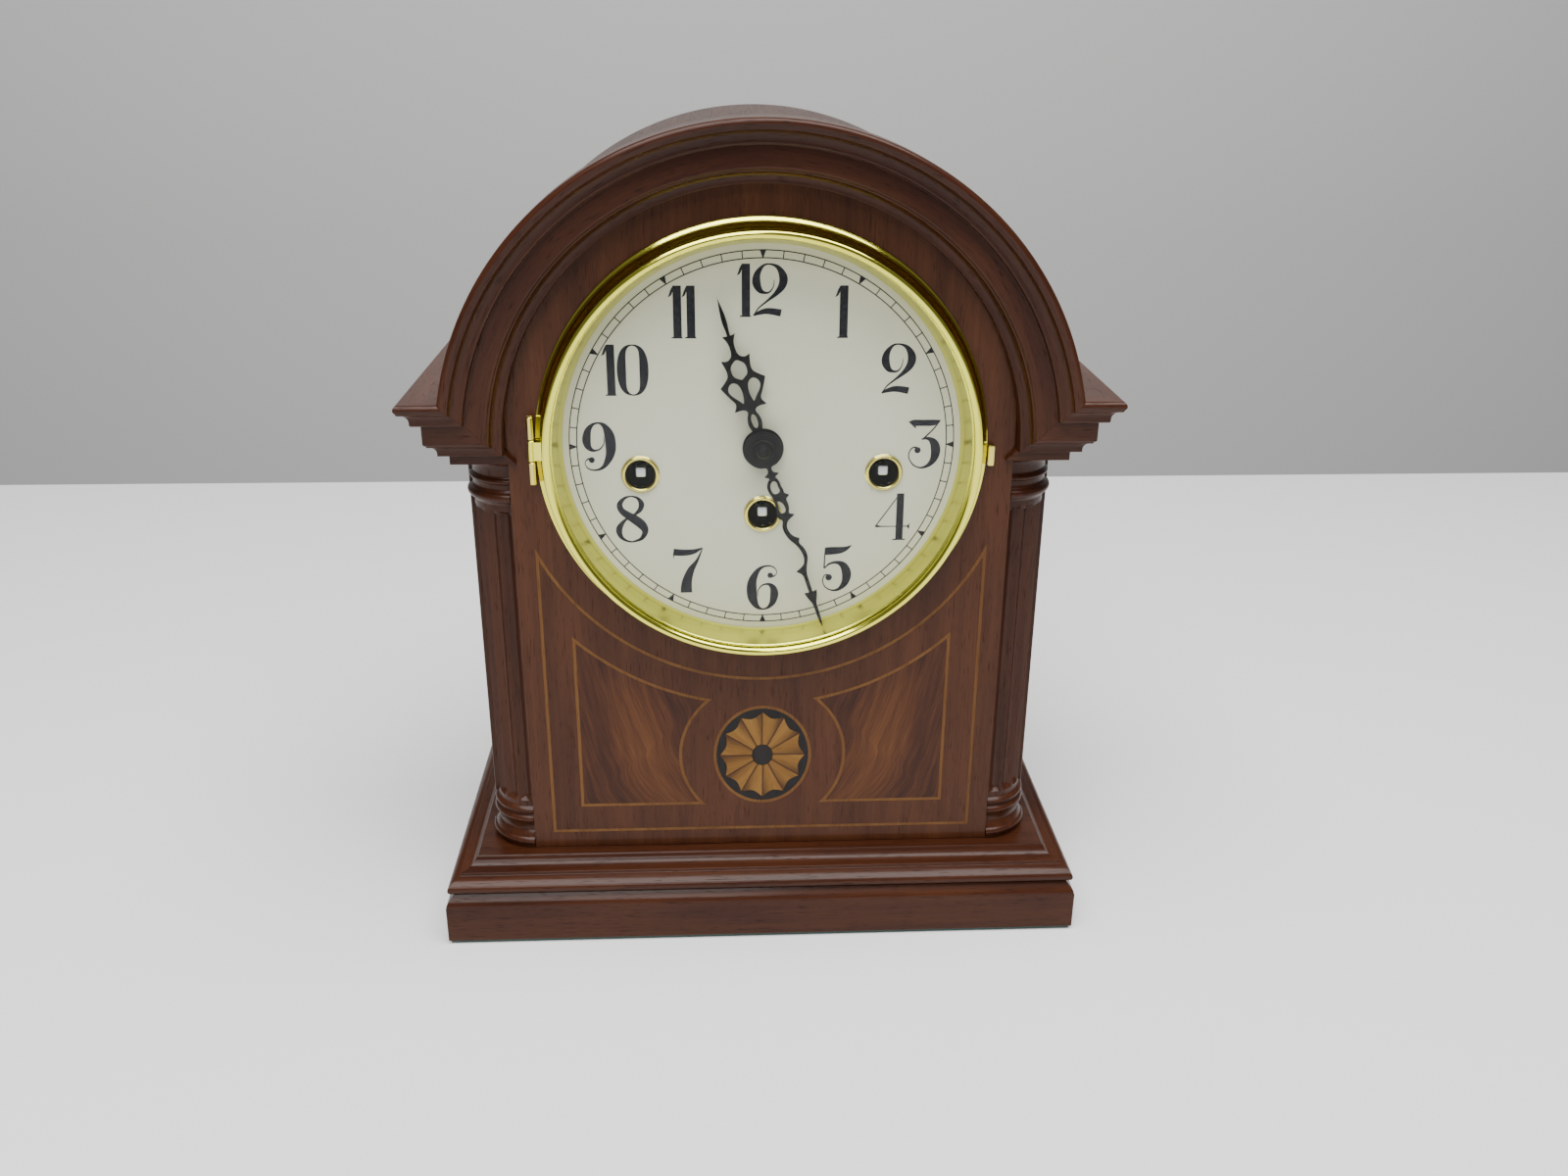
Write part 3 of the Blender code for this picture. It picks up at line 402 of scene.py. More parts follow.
# Metals: clean colour, then its bloom
BEZEL_BRASS = brass("bezel_brass", (0.80, 0.77, 0.11), (0.70, 0.64, 0.07), 0.09, 0.15)
REFLECTOR_BRASS = brass("reflector_brass", (0.80, 0.78, 0.13), (0.66, 0.62, 0.09), 0.19, 0.4)
HINGE_BRASS = brass("hinge_brass", (0.72, 0.62, 0.16), (0.58, 0.48, 0.11), 0.16, 0.3)
MOVEMENT_BRASS = brass("movement_brass", (0.74, 0.58, 0.27), (0.58, 0.42, 0.17), 0.30, 0.6,
                       (220.0, 2600.0, 2600.0))
BRIGHT_STEEL = steel("bright_steel", (0.56, 0.56, 0.57), 0.20)
# Near-black steel for the winding arbors and click wheels: painted shade, so that the winding holes read dark
# inside.
SHADE_DARK_STEEL = steel("arbor_steel_painted_shade", (0.020, 0.019, 0.018), 0.42)
HAND_BLACK = blued_steel("hand_black")
IRON = cast_iron("painted_iron")
ENAMEL = dial_enamel("dial_enamel")
INK = dial_ink("dial_ink")
FELT = felt("green_felt")
GLASS = clear_glass("bezel_glass")


# ---------------------------------------------------------------- tools

def back_y(back):
    return FACE_Y + back


def upright(co):
    return Vector((co.z, co.x, co.y))


def level(co):
    return Vector((co.x, co.z, co.y))


def front_to_back(co):
    return Vector((co.y, co.x, co.z))


def arched(co):
    """Grain that follows the arch round."""
    reach = math.hypot(co.x, co.z - DIAL_Z)
    return Vector((math.atan2(co.x, co.z - DIAL_Z) * ARCH_R, reach, co.y))


def round_the_case(co, centre):
    """Level grain that turns the mitred corners with the moulding."""
    if abs(centre.x) - CASE_HALF > FACE_Y - centre.y:
        return Vector((co.y, co.z, co.x))
    return level(co)


def lay_grain(mesh, lie):
    """Store where each corner of each face sits in its own plank, in metres."""
    shift = Vector([draw.uniform(0.0, 3.0) for axis in range(3)])
    layer = mesh.attributes.new("grain", "FLOAT_VECTOR", "CORNER")
    for face in mesh.polygons:
        for corner in face.loop_indices:
            co = mesh.vertices[mesh.loops[corner].vertex_index].co / MM
            where = lie(co, face.center / MM) if lie is round_the_case else lie(co)
            layer.data[corner].vector = where * MM + shift


def piece(name, bm, finish, stands_for=(), body="case", lie=None, crease=33.0):
    """Turn a bmesh in millimetres into a finished piece that rides on a body."""
    bmesh.ops.remove_doubles(bm, verts=bm.verts, dist=1e-4)
    bmesh.ops.dissolve_degenerate(bm, edges=bm.edges, dist=1e-4)
    bmesh.ops.recalc_face_normals(bm, faces=bm.faces)
    bmesh.ops.scale(bm, verts=bm.verts, vec=(MM, MM, MM))
    mesh = bpy.data.meshes.new(name)
    bm.to_mesh(mesh)
    bm.free()
    mesh.shade_smooth()
    mesh.set_sharp_from_angle(angle=math.radians(crease))
    mesh.materials.append(finish)
    if lie:
        lay_grain(mesh, lie)
    item = bpy.data.objects.new(name, mesh)
    bpy.context.scene.collection.objects.link(item)
    even = item.modifiers.new("even_normals", "WEIGHTED_NORMAL")
    even.keep_sharp = True
    even.weight = 100
    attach(item, body)
    if stands_for:
        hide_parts(*stands_for)
    return item


def finished(node, bm, finish, body="case", lie=None):
    """A piece that stands for the CAD node whose name it carries."""
    return piece(f"{node}_finished", bm, finish, [node], body, lie)


def arc(x, z, radius, start, end, steps):
    """Points along a circle, angles in degrees from +X towards +Z."""
    turn = [math.radians(start + (end - start) * i / steps) for i in range(steps + 1)]
    return [(x + radius * math.cos(a), z + radius * math.sin(a)) for a in turn]


def circle(x, z, radius, steps=48):
    return arc(x, z, radius, 0.0, 360.0, steps)[:-1]


def eased(section, cut, closed=True, least=28.0):
    """Round off the arrises of a section with three small flats each."""
    points = [Vector(p) for p in section]
    soft = []
    for i, corner in enumerate(points):
        if not closed and i in (0, len(points) - 1):
            soft.append(tuple(corner))
            continue
        into, out = corner - points[i - 1], points[(i + 1) % len(points)] - corner
        if math.degrees(into.angle(out)) < least:
            soft.append(tuple(corner))
            continue
        first = corner - into.normalized() * min(cut, into.length * 0.4)
        last = corner + out.normalized() * min(cut, out.length * 0.4)
        for t in (0.0, 1 / 3, 2 / 3, 1.0):
            soft.append(tuple(first * (1 - t) ** 2 + corner * 2 * t * (1 - t) + last * t * t))
    return soft


def flat(outline, back, holes=()):
    """Flat sheet in the XZ plane."""
    bm = bmesh.new()
    edges = []
    for loop in (outline, *holes):
        ring = [bm.verts.new((x, back_y(back), z)) for x, z in loop]
        edges += [bm.edges.new((ring[i - 1], ring[i])) for i in range(len(ring))]
    if holes:
        bmesh.ops.triangle_fill(bm, use_beauty=True, edges=edges)
    else:
        bmesh.ops.contextual_create(bm, geom=edges)
    return bm


def thicken(bm, vector):
    grown = bmesh.ops.extrude_face_region(bm, geom=list(bm.faces))
    verts = [g for g in grown["geom"] if isinstance(g, bmesh.types.BMVert)]
    bmesh.ops.translate(bm, verts=verts, vec=vector)
    return bm


def board(outline, back, thick, holes=()):
    return thicken(flat(outline, back, holes), (0.0, thick, 0.0))


def soften(bm, width, angle=40.0, segments=2):
    """Bevel the sharp edges of a board."""
    bmesh.ops.remove_doubles(bm, verts=bm.verts, dist=1e-4)
    bmesh.ops.recalc_face_normals(bm, faces=bm.faces)
    sharp = [e for e in bm.edges if len(e.link_faces) == 2 and e.calc_face_angle() > math.radians(angle)]
    bmesh.ops.bevel(bm, geom=sharp, offset=width, segments=segments, affect="EDGES", profile=0.5,
                    material=-1, clamp_overlap=True)
    return bm


def block(low, high, ease=0.0):
    bm = bmesh.new()
    size = Vector(high) - Vector(low)
    middle = (Vector(high) + Vector(low)) / 2.0
    bmesh.ops.create_cube(bm, size=1.0, matrix=Matrix.Translation(middle) @ Matrix.Diagonal((*size, 1.0)))
    return soften(bm, ease) if ease else bm


def turned(profile, x, z, steps=ROUND):
    """Turn (radius, back) points about an axis along Y. A profile off the axis makes a ring."""
    bm = bmesh.new()
    points = [bm.verts.new((x + radius, back_y(back), z)) for radius, back in profile]
    ring = min(radius for radius, back in profile) > 0.01
    edges = [bm.edges.new((points[i - 1], points[i])) for i in range(0 if ring else 1, len(points))]
    bmesh.ops.spin(bm, geom=points + edges, cent=(x, 0.0, z), axis=(0.0, 1.0, 0.0), angle=math.tau,
                   steps=steps, use_merge=True)
    return bm


def swept(section_at, stations, closed=True, capped=True):
    """Draw the first section, extrude it, and lay each new row of points at its own station."""
    bm = bmesh.new()
    row = [bm.verts.new(point) for point in section_at(stations[0])]
    edges = [bm.edges.new((row[i - 1], row[i])) for i in range(0 if closed else 1, len(row))]
    if capped:
        bmesh.ops.contextual_create(bm, geom=edges)
    for station in stations[1:]:
        grown = bmesh.ops.extrude_edge_only(bm, edges=edges)["geom"]
        fresh = {g for g in grown if isinstance(g, bmesh.types.BMVert)}
        row = [next(e.other_vert(v) for e in v.link_edges if e.other_vert(v) in fresh) for v in row]
        for vert, point in zip(row, section_at(station)):
            vert.co = point
        edges = [bm.edges.get((row[i - 1], row[i])) for i in range(0 if closed else 1, len(row))]
    if capped:
        bmesh.ops.contextual_create(bm, geom=edges)
    return bm


def joined(*parts):
    """Put several shells into one bmesh."""
    whole = bmesh.new()
    for part in parts:
        mesh = bpy.data.meshes.new("part")
        part.to_mesh(mesh)
        part.free()
        whole.from_mesh(mesh)
        bpy.data.meshes.remove(mesh)
    return whole


# ---------------------------------------------------------------- case

def hollow(out, down, size, steps=7):
    """Cavetto under an edge: it leaves the edge level and ends upright."""
    turn = [math.radians(90.0 + 90.0 * i / steps) for i in range(steps + 1)]
    return [(out + size * math.cos(a), down + size - size * math.sin(a)) for a in turn]


def crown_section(with_abacus):
    """Section shared by cornice and arch: (distance out, distance down from the top edge)."""
    nose = [(18.1 + 1.9 * math.cos(a), 1.9 - 1.9 * math.sin(a)) for a in
            [math.radians(90.0 - 140.0 * i / 8) for i in range(9)]]
    upper = hollow(18.9, 4.4, 3.8)
    bead = [(15.1, 9.3), (14.6, 9.9), (11.4, 10.1)]
    frieze = [(11.4, 18.2), (11.1, 18.9), (10.3, 19.3)]
    lower = hollow(10.2, 20.0, 3.4)
    foot = [(6.8, 24.6), (GAP, 24.9)]
    if with_abacus:
        under = SHELF_TOP - ABACUS_LOW
        foot = [(6.8, 24.6), (2.8, 25.1), (2.8, under), (GAP, under)]
    return eased([(GAP, 0.0)] + nose + upper + bead + frieze + lower + foot, 0.3)


def mitre_x(down):
    """Where the level moulding and the arch meet, at a distance down from the top edge."""
    reach = ARCH_R - down
    return math.sqrt(reach * reach - (SHELF_TOP - down - DIAL_Z) ** 2)


def make_cornice(side, name):
    section = crown_section(True)
    beside_arch = mitre_x(0.0) + GAP / 3.0 - CASE_HALF
    first = next(i for i, (out, down) in enumerate(section) if out > beside_arch)
    section.insert(first, (beside_arch, 0.0))

    def section_at(station):
        if station == "rear":
            return [(side * (CASE_HALF + out), back_y(CASE_BACK), SHELF_TOP - down) for out, down in section]
        if station == "corner":
            return [(side * (CASE_HALF + out), back_y(-out), SHELF_TOP - down) for out, down in section]
        return [(side * min(mitre_x(down) + GAP / 3.0, CASE_HALF + out), back_y(-out), SHELF_TOP - down)
                for out, down in section]

    bm = swept(section_at, ("rear", "corner", "arch"))
    piece(name, bm, MAHOGANY, [name], lie=round_the_case)


def make_arch():
    section = crown_section(False)

    def section_at(share):
        row = []
        for out, down in section:
            reach = ARCH_R - down
            start = math.atan2(SHELF_TOP - down - DIAL_Z, mitre_x(down))
            a = start + (math.pi - 2.0 * start) * share
            row.append((reach * math.cos(a), back_y(-out), DIAL_Z + reach * math.sin(a)))
        return row

    bm = swept(section_at, [i / 96 for i in range(97)])
    finished("arch_moulding", bm, MAHOGANY, lie=arched)


def make_roof():
    outer = math.degrees(math.asin((SHELF_TOP + GAP - DIAL_Z) / ROOF_R))
    inner = math.degrees(math.asin((SHELF_TOP + GAP - DIAL_Z) / ROOF_IN_R))
    outline = arc(0.0, DIAL_Z, ROOF_R, outer, 180.0 - outer, 96)
    outline += arc(0.0, DIAL_Z, ROOF_IN_R, 180.0 - inner, inner, 96)
    start = PANEL_THICK + GAP
    bm = soften(board(outline, start, CASE_BACK - start), 0.5)
    finished("barrel_roof", bm, ROOF_WOOD_SHADED, lie=front_to_back)


def base_plan(out, z):
    half, front, rear = CASE_HALF + out, back_y(-out), back_y(CASE_BACK)
    return [(-half, rear, z), (-half, front, z), (half, front, z), (half, rear, z)]


def make_base():
    plinth = [(19.2, FELT_TOP + GAP), (19.7, FELT_TOP + 0.8), (19.7, 19.0), (19.3, 20.8), (18.4, 22.4),
              (17.2, 23.6), (16.2, PLINTH_TOP)]
    bm = swept(lambda at: base_plan(*at), eased(plinth, 0.4, False))
    finished("plinth", bm, MAHOGANY, lie=round_the_case)
    lip = [(15.6, PLINTH_TOP + GAP)] + arc(15.9, 28.1, 2.6, -72.0, 60.0, 12)
    step = [(15.0, 32.2), (13.2, 32.9), (13.0, 34.2)]
    rise = [(11.6, 34.4)] + arc(11.4, 40.0, 5.5, 262.0, 196.0, 8) + [(5.6, BASE_TOP)]
    bm = swept(lambda at: base_plan(*at), eased(lip + step + rise, 0.3, False))
    finished("base_moulding", bm, MAHOGANY, lie=round_the_case)


def make_sides():
    for side, name in ((-1, "side_panel_left"), (1, "side_panel_right")):
        low, high = span(name)
        finished(name, block(low, high, 0.6), MAHOGANY, lie=upright)


def column_row(side, z, radius, depth):
    """Quarter round with three full flutes between four reeds: its corner, then the curved face."""
    row = [(side * COLUMN_X, back_y(COLUMN_BACK), z)]
    steps = 60
    for i in range(steps + 1):
        share = i / steps
        wave = math.sin(math.pi * 4.0 * share) ** 2
        reach = radius - depth * wave ** 0.55
        a = math.pi / 2.0 * share
        row.append((side * (COLUMN_X + reach * math.sin(a)), back_y(COLUMN_BACK - reach * math.cos(a)), z))
    return row


def make_column(side, name):
    """Turned foot and head with an even fluted shaft between them."""
    flute_deep, taper = 2.3, 0.45
    foot = [(20.6, BASE_TOP + GAP)] + arc(19.6, 42.4, 2.0, -60.0, 70.0, 8)
    foot += [(19.4, 46.2), (18.4, 47.4), (18.2, 49.6)]
    foot += arc(18.3, 53.4, 2.0, -75.0, 75.0, 8) + [(18.4, 56.4)] + arc(18.6, 58.0, 1.3, -60.0, 75.0, 5)
    foot += [(18.0, 59.9), (18.0, 61.6)]
    head = [(18.0, 205.4), (18.0, 207.2)] + arc(18.4, 210.8, 2.3, -75.0, 75.0, 8)
    head += [(18.3, 214.2), (18.3, 215.8)]
    head += arc(18.2, 217.8, 1.3, -75.0, 75.0, 5) + [(18.1, 219.8), (18.1, 222.2), (18.6, 224.4)]
    head += [(19.4, 225.6), (20.4, 226.2), (20.4, ABACUS_LOW - GAP)]
    ends = [(math.sin(math.radians(18.0 * i)), i) for i in range(6)]
    stations = [(z, r, 0.0) for r, z in eased(foot, 0.25, False)]
    stations += [(62.6 + taper * i, 18.0, flute_deep * deep) for deep, i in ends]
    stations += [(204.4 - taper * i, 18.0, flute_deep * deep) for deep, i in reversed(ends)]
    stations += [(z, r, 0.0) for r, z in eased(head, 0.25, False)]
    bm = swept(lambda at: column_row(side, *at), stations)
    finished(name, bm, MAHOGANY, lie=upright)


# ---------------------------------------------------------------- front panel and inlay

def border_outline(inset):
    """Outer border line of the panel, moved inwards by a distance."""
    half, low, radius = STRING_X - inset, STRING_LOW + inset, STRING_R - STRING_WIDE + inset
    lean = math.degrees(math.acos(half / radius))
    return [(-half, low), (half, low)] + arc(0.0, DIAL_Z, radius, -lean, lean - 180.0, 64)


def figured_outline(side, inset):
    """Five-sided figured panel: its top follows the dial and its inner side the medallion."""
    centre_z = (MEDALLION_LOW.z + MEDALLION_HIGH.z) / 2.0
    outer, low = VENEER_X - inset, VENEER_LOW + inset
    big, small = VENEER_R + inset, VENEER_INNER_R + inset
    apart = DIAL_Z - centre_z
    drop = (apart * apart + big * big - small * small) / (2.0 * apart)
    meet_x = math.sqrt(big * big - drop * drop)
    begin, stop = [-math.degrees(math.acos(x / big)) for x in (outer, meet_x)]
    top = arc(0.0, DIAL_Z, big, begin, stop, 24)
    start = math.degrees(math.atan2(DIAL_Z - drop - centre_z, meet_x))
    end = math.degrees(math.asin((low - centre_z) / small))
    inner = arc(0.0, centre_z, small, start, end, 24)
    return [(side * x, z) for x, z in [(outer, low)] + top + inner[1:]]


def oval(share, steps=96, inset=0.0):
    middle = (MEDALLION_LOW + MEDALLION_HIGH) / 2.0
    half = (MEDALLION_HIGH - MEDALLION_LOW) / 2.0
    across, up = half.x * share - inset, half.z * share - inset
    turn = [math.tau * i / steps for i in range(steps)]
    return [(across * math.cos(a), middle.z + up * math.sin(a)) for a in turn]


def arch_outline(half, low, radius, steps=96):
    lean = math.degrees(math.acos(half / radius)) if half < radius else 0.0
    return [(-half, low), (half, low)] + arc(0.0, DIAL_Z, radius, lean, 180.0 - lean, steps)


def inlaid(name, outline, holes, finish, stands_for=(), lie=upright, proud=0.0):
    bm = board(outline, -proud, INLAY_DEEP + proud, holes)
    return piece(name, bm, finish, stands_for, lie=lie)


def make_front_panel():
    ear = [(CASE_HALF, ABACUS_LOW), (CASE_HALF, SHELF_TOP)]
    lean = math.degrees(math.asin((SHELF_TOP - DIAL_Z) / ROOF_R))
    right = [(PANEL_HALF, BASE_TOP + GAP), (PANEL_HALF, ABACUS_LOW)] + ear
    left = [(-x, z) for x, z in reversed(right)]
    outline = right + arc(0.0, DIAL_Z, ROOF_R, lean, 180.0 - lean, 96) + left
    opening = circle(0.0, DIAL_Z, DIAL_R + 2.1, ROUND)
    core = board(outline, INLAY_DEEP + GLUE_LINE, PANEL_THICK - INLAY_DEEP - GLUE_LINE, [opening])
    piece("front_panel_core", core, MAHOGANY, ["front_panel"], lie=upright)
    cover = arch_outline(PANEL_HALF, BASE_TOP + GAP, ARCH_R - 22.0)
    inlaid("front_veneer_surround", cover, [opening, border_outline(-GLUE_LINE)], PANEL_WOOD)
    field = [figured_outline(side, -GLUE_LINE) for side in (-1, 1)] + [oval(1.0, inset=-GLUE_LINE)]
    inlaid("front_veneer_field", border_outline(STRING_WIDE + GLUE_LINE), field, PANEL_WOOD)


def make_stringing():
    inlaid("outer_stringing_finished", border_outline(0.0), [border_outline(STRING_WIDE)],
           STRING_WOOD, ["outer_stringing"])
    for side, word in ((-1, "left"), (1, "right")):
        inlaid(f"inner_stringing_{word}", figured_outline(side, 0.0), [figured_outline(side, STRING_WIDE)],
               STRING_WOOD)

        def feather(co, side=side):
            slope = math.radians(62.0)
            x, z = side * co.x - 55.0, co.z - 85.0
            along = x * math.cos(slope) + z * math.sin(slope)
            return Vector((along, x * math.sin(slope) - z * math.cos(slope) + 0.006 * z * z, 0))

        bm = board(figured_outline(side, STRING_WIDE + GLUE_LINE), 0.0, INLAY_DEEP)
        flame = piece(f"figured_panel_{word}", bm, FLAME, [f"inlay_panel_{word}"])
        layer = flame.data.attributes.new("grain", "FLOAT_VECTOR", "CORNER")
        for corner, loop in enumerate(flame.data.loops):
            layer.data[corner].vector = feather(flame.data.vertices[loop.vertex_index].co / MM) * MM


def make_medallion():
    """Light rim, dark band, and a fan of petals with hollow ends round a dark eye."""
    middle = (MEDALLION_LOW + MEDALLION_HIGH) / 2.0
    half = (MEDALLION_HIGH - MEDALLION_LOW) / 2.0

    def at(share, degrees):
        a = math.radians(degrees)
        return (half.x * share * math.sin(a), middle.z + half.z * share * math.cos(a))

    def petal_end(degrees, tip=0.87, valley=0.762, steps=10):
        rim = []
        for i in range(steps + 1):
            t = i / steps
            dip = math.sin(math.pi * t)
            rim.append(at(tip - (tip - valley) * dip, degrees + 360.0 / PETALS * t))
        return rim

    inlaid("medallion_rim", oval(1.0), [oval(0.94)], STRING_WOOD, ["medallion"])
    scallops = []
    for petal in range(PETALS):
        scallops += petal_end(petal * 360.0 / PETALS)[:-1]
    inlaid("medallion_band", oval(0.94, inset=GLUE_LINE), [scallops], DARK_WOOD)
    inlaid("medallion_eye", oval(0.205), [], DARK_WOOD)
    line = 0.28
    for petal in range(PETALS):
        angle = petal * 360.0 / PETALS
        step = 360.0 / PETALS
        a, b = math.radians(angle), math.radians(angle + step)
        near, far = (line * math.cos(a), -line * math.sin(a)), (-line * math.cos(b), line * math.sin(b))
        rim = petal_end(angle)
        outline = []
        for i, (x, z) in enumerate(rim):
            t = i / (len(rim) - 1)
            outline.append((x + near[0] * (1 - t) + far[0] * t, z + near[1] * (1 - t) + far[1] * t))
        inner = [at(0.215, angle + step * t) for t in (0.94, 0.5, 0.06)]
        heading = math.radians(angle + step / 2.0)

        def ray(co, heading=heading):
            x, z, s, c = co.x, co.z - middle.z, math.sin(heading), math.cos(heading)
            return Vector((x * s + z * c, x * c - z * s, co.y))

        leaf = inlaid(f"petal_{petal + 1}", outline + inner, [], PETAL_WOOD, lie=ray).data
        layer = leaf.attributes.new("scorch", "FLOAT", "CORNER")
        for corner, loop in enumerate(leaf.loops):
            co = leaf.vertices[loop.vertex_index].co / MM
            turn = math.degrees(math.atan2(co.x / half.x, (co.z - middle.z) / half.z)) - angle
            layer.data[corner].value = ((turn + 15.0) % 360.0 - 15.0) / step
        ends = [(at(share, angle), d * line) for share, d in ((0.21, -1), (0.21, 1), (0.87, 1), (0.87, -1))]
        corners = [(x + d * math.cos(a), z - d * math.sin(a)) for (x, z), d in ends]
        inlaid(f"petal_line_{petal + 1}", corners, [], SCORCHED_WOOD, proud=-0.01)


# ---------------------------------------------------------------- back

def make_back():
    clear = 0.8
    inside = CASE_HALF - SIDE_THICK - GAP
    outline = arch_outline(inside, BASE_TOP + GAP, ROOF_IN_R - GAP)
    opening = arch_outline(DOOR_HALF + clear, DOOR_LOW - clear, DOOR_R + clear)
    bm = soften(board(outline, CASE_BACK - FRAME_THICK, FRAME_THICK, [opening]), 0.5)
    finished("back_frame", bm, MAHOGANY, lie=upright)
    leaf = board(arch_outline(DOOR_HALF, DOOR_LOW, DOOR_R), CASE_BACK - DOOR_THICK, DOOR_THICK)
    finished("back_door", soften(leaf, 1.2, segments=3), MAHOGANY, "back_door", upright)
    knob = [(0.0, GAP), (4.2, GAP), (4.2, 0.7), (2.7, 1.3), (2.6, 2.0)] + arc(3.4, 3.5, 1.7, -75.0, 80.0, 10)
    knob += [(2.4, 5.15), (0.0, 5.2)]
    bm = turned([(r, CASE_BACK + proud) for r, proud in knob], KNOB_X, KNOB_Z, 40)
    finished("door_knob", bm, HINGE_BRASS, "back_door")


# ---------------------------------------------------------------- dial

def make_dial():
    holes = [circle(x, z, 7.3, 48) for x, z in WIND_POINTS.values()] + [circle(0.0, DIAL_Z, 4.4, 32)]
    bm = board(circle(0.0, DIAL_Z, DIAL_R, ROUND), DIAL_BACK, 0.8, holes)
    finished("dial", bm, ENAMEL)
    rest = DIAL_BACK - GAP
    cone = [(83.4, rest), (83.7, rest - 0.7), (84.9, -2.9), (86.0, -6.6), (86.5, -9.2)]
    shell = [(86.9, -9.6), (87.3, -9.7), (87.7, -9.4), (87.7, -1.5), (88.0, -1.3), (93.6, -1.3),
             (94.2, -0.9), (94.2, -GAP), (87.7, -GAP), (87.7, 4.6), (86.9, 4.6), (86.9, rest)]
    ring = turned(eased(cone + shell, 0.15), 0.0, DIAL_Z)
    finished("dial_ring", ring, REFLECTOR_BRASS)
    roll = [(6.3, 5.0), (6.3, 2.1)] + arc(7.1, 2.1, 0.8, 180.0, 360.0, 10)
    roll += [(8.1, rest), (7.0, rest), (7.0, 5.0)]
    for train, (x, z) in WIND_POINTS.items():
        piece(f"eyelet_{train}", turned(roll, x, z, 48), HINGE_BRASS,
              [f"winding_eyelet_{train}"])


def make_winding_arbors():
    """Squared end for the key, a round arbor and a saw-toothed click wheel."""
    for train, (x, z) in WIND_POINTS.items():
        square = block((x - 2.15, back_y(5.2), z - 2.15), (x + 2.15, back_y(10.0), z + 2.15), 0.7)
        shaft = [(0.0, 9.8), (3.0, 9.8), (3.0, 54.0), (2.0, 54.3), (2.0, 59.8), (1.7, 60.0), (0.0, 60.0)]
        teeth = []
        for tooth in range(16):
            a = math.tau * tooth / 16
            teeth += [(x + 8.6 * math.cos(a), z + 8.6 * math.sin(a)),
                      (x + 9.7 * math.cos(a + 0.34), z + 9.7 * math.sin(a + 0.34))]
        piece(f"winding_square_{train}", square, BRIGHT_STEEL, body=f"{train}_arbor")
        click = soften(board(teeth, 12.6, 1.8), 0.12)
        arbor = joined(turned(shaft, x, z, 40), click)
        # The arbor and its click wheel take steel darkened to near black as painted shade inside the winding
        # hole.
        finished(f"winding_arbor_{train}", arbor, SHADE_DARK_STEEL, f"{train}_arbor")


PRINT = 0.04                   # thickness of the printing on the dial
INK_SPREAD = 1.12
HAIRLINE = 0.14                # least half-width of a pen stroke


def printed(name, parts):
    return piece(name, joined(*parts), INK, crease=20.0)


def make_minute_track():
    outer, inner, line = 80.6, 77.5, 0.22
    parts = []
    for radius in (outer, inner):
        low, high = radius - line, radius + line
        face = DIAL_BACK - PRINT
        parts.append(turned([(low, DIAL_BACK), (low, face), (high, face), (high, DIAL_BACK)], 0.0, DIAL_Z))
    for minute in range(60):
        a = math.radians(6.0 * minute)
        s, c = math.sin(a), math.cos(a)
        foot, tip = (1.25, 0.25) if minute % 5 == 0 else (line, line)
        high, low = outer - line, inner + line
        corners = [(-foot, high), (foot, high), (tip, low), (-tip, low)]
        outline = [(x * c + r * s, DIAL_Z + r * c - x * s) for x, r in corners]
        parts.append(board(outline, DIAL_BACK - PRINT, PRINT))
    printed("minute_track", parts)


def smoothed(points, steps=7):
    """Points on a smooth curve through the given ones."""
    fine = []
    for i in range(len(points) - 1):
        p = [Vector(points[max(0, min(len(points) - 1, i + k))]) for k in (-1, 0, 1, 2)]
        for s in range(steps):
            t = s / steps
            fine.append(0.5 * (2 * p[1] + (p[2] - p[0]) * t + (2 * p[0] - 5 * p[1] + 4 * p[2] - p[3]) * t * t
                               + (3 * p[1] - p[0] - 3 * p[2] + p[3]) * t ** 3))
    return fine + [Vector(points[-1])]


def pen_stroke(path, x, z, thick, steps=7):
    """Broad-pen stroke through (across, up, half-width) points."""
    fine = smoothed(path, steps)

    def section_at(i):
        ahead = (fine[min(i + 1, len(fine) - 1)] - fine[max(i - 1, 0)]).xy.normalized()
        side = Vector((-ahead.y, ahead.x)) * max(fine[i].z * INK_SPREAD, HAIRLINE)
        left, right = fine[i].xy + side, fine[i].xy - side
        return [(x + p.x, back_y(DIAL_BACK - thick), z + p.y) for p in (left, right)]

    bm = swept(section_at, list(range(len(fine))), closed=False, capped=False)
    return thicken(bm, (0.0, thick, 0.0))


def ball(cx, cz, radius, x, z, thick):
    return board(circle(x + cx, z + cz, radius, 24), DIAL_BACK - thick, thick)


# Each numeral is drawn from its lower left corner: its width, its pen strokes through
# (across, up, half-width) points, and its round ends
TALL = 21.2
SIX = ([[(11.3, 15.7, .35), (12.7, 16.7, .2), (13.1, 18.3, .15), (11.9, 20.1, .25), (9.75, 20.85, .3),
         (7.3, 20.5, .45), (5.4, 19.3, .75), (3.9, 17.2, 1.15), (2.6, 14.2, 1.6), (2.15, 10.8, 1.95),
         (2.5, 6.2, 1.9),
         (3.7, 2.9, 1.3), (5.2, 1.1, .75), (7.1, .45, .35), (9.4, 1.2, .6), (11.3, 3.6, 1.2),
         (12.1, 7.3, 1.6),
         (11.7, 10.2, 1.3), (10.4, 11.8, .8), (9.0, 12.3, .45), (6.9, 11.8, .3), (5.3, 10.0, .22),
         (4.8, 8.3, .18),
         (5.0, 6.5, .12)]], [(10.3, 16.4, 1.25)])
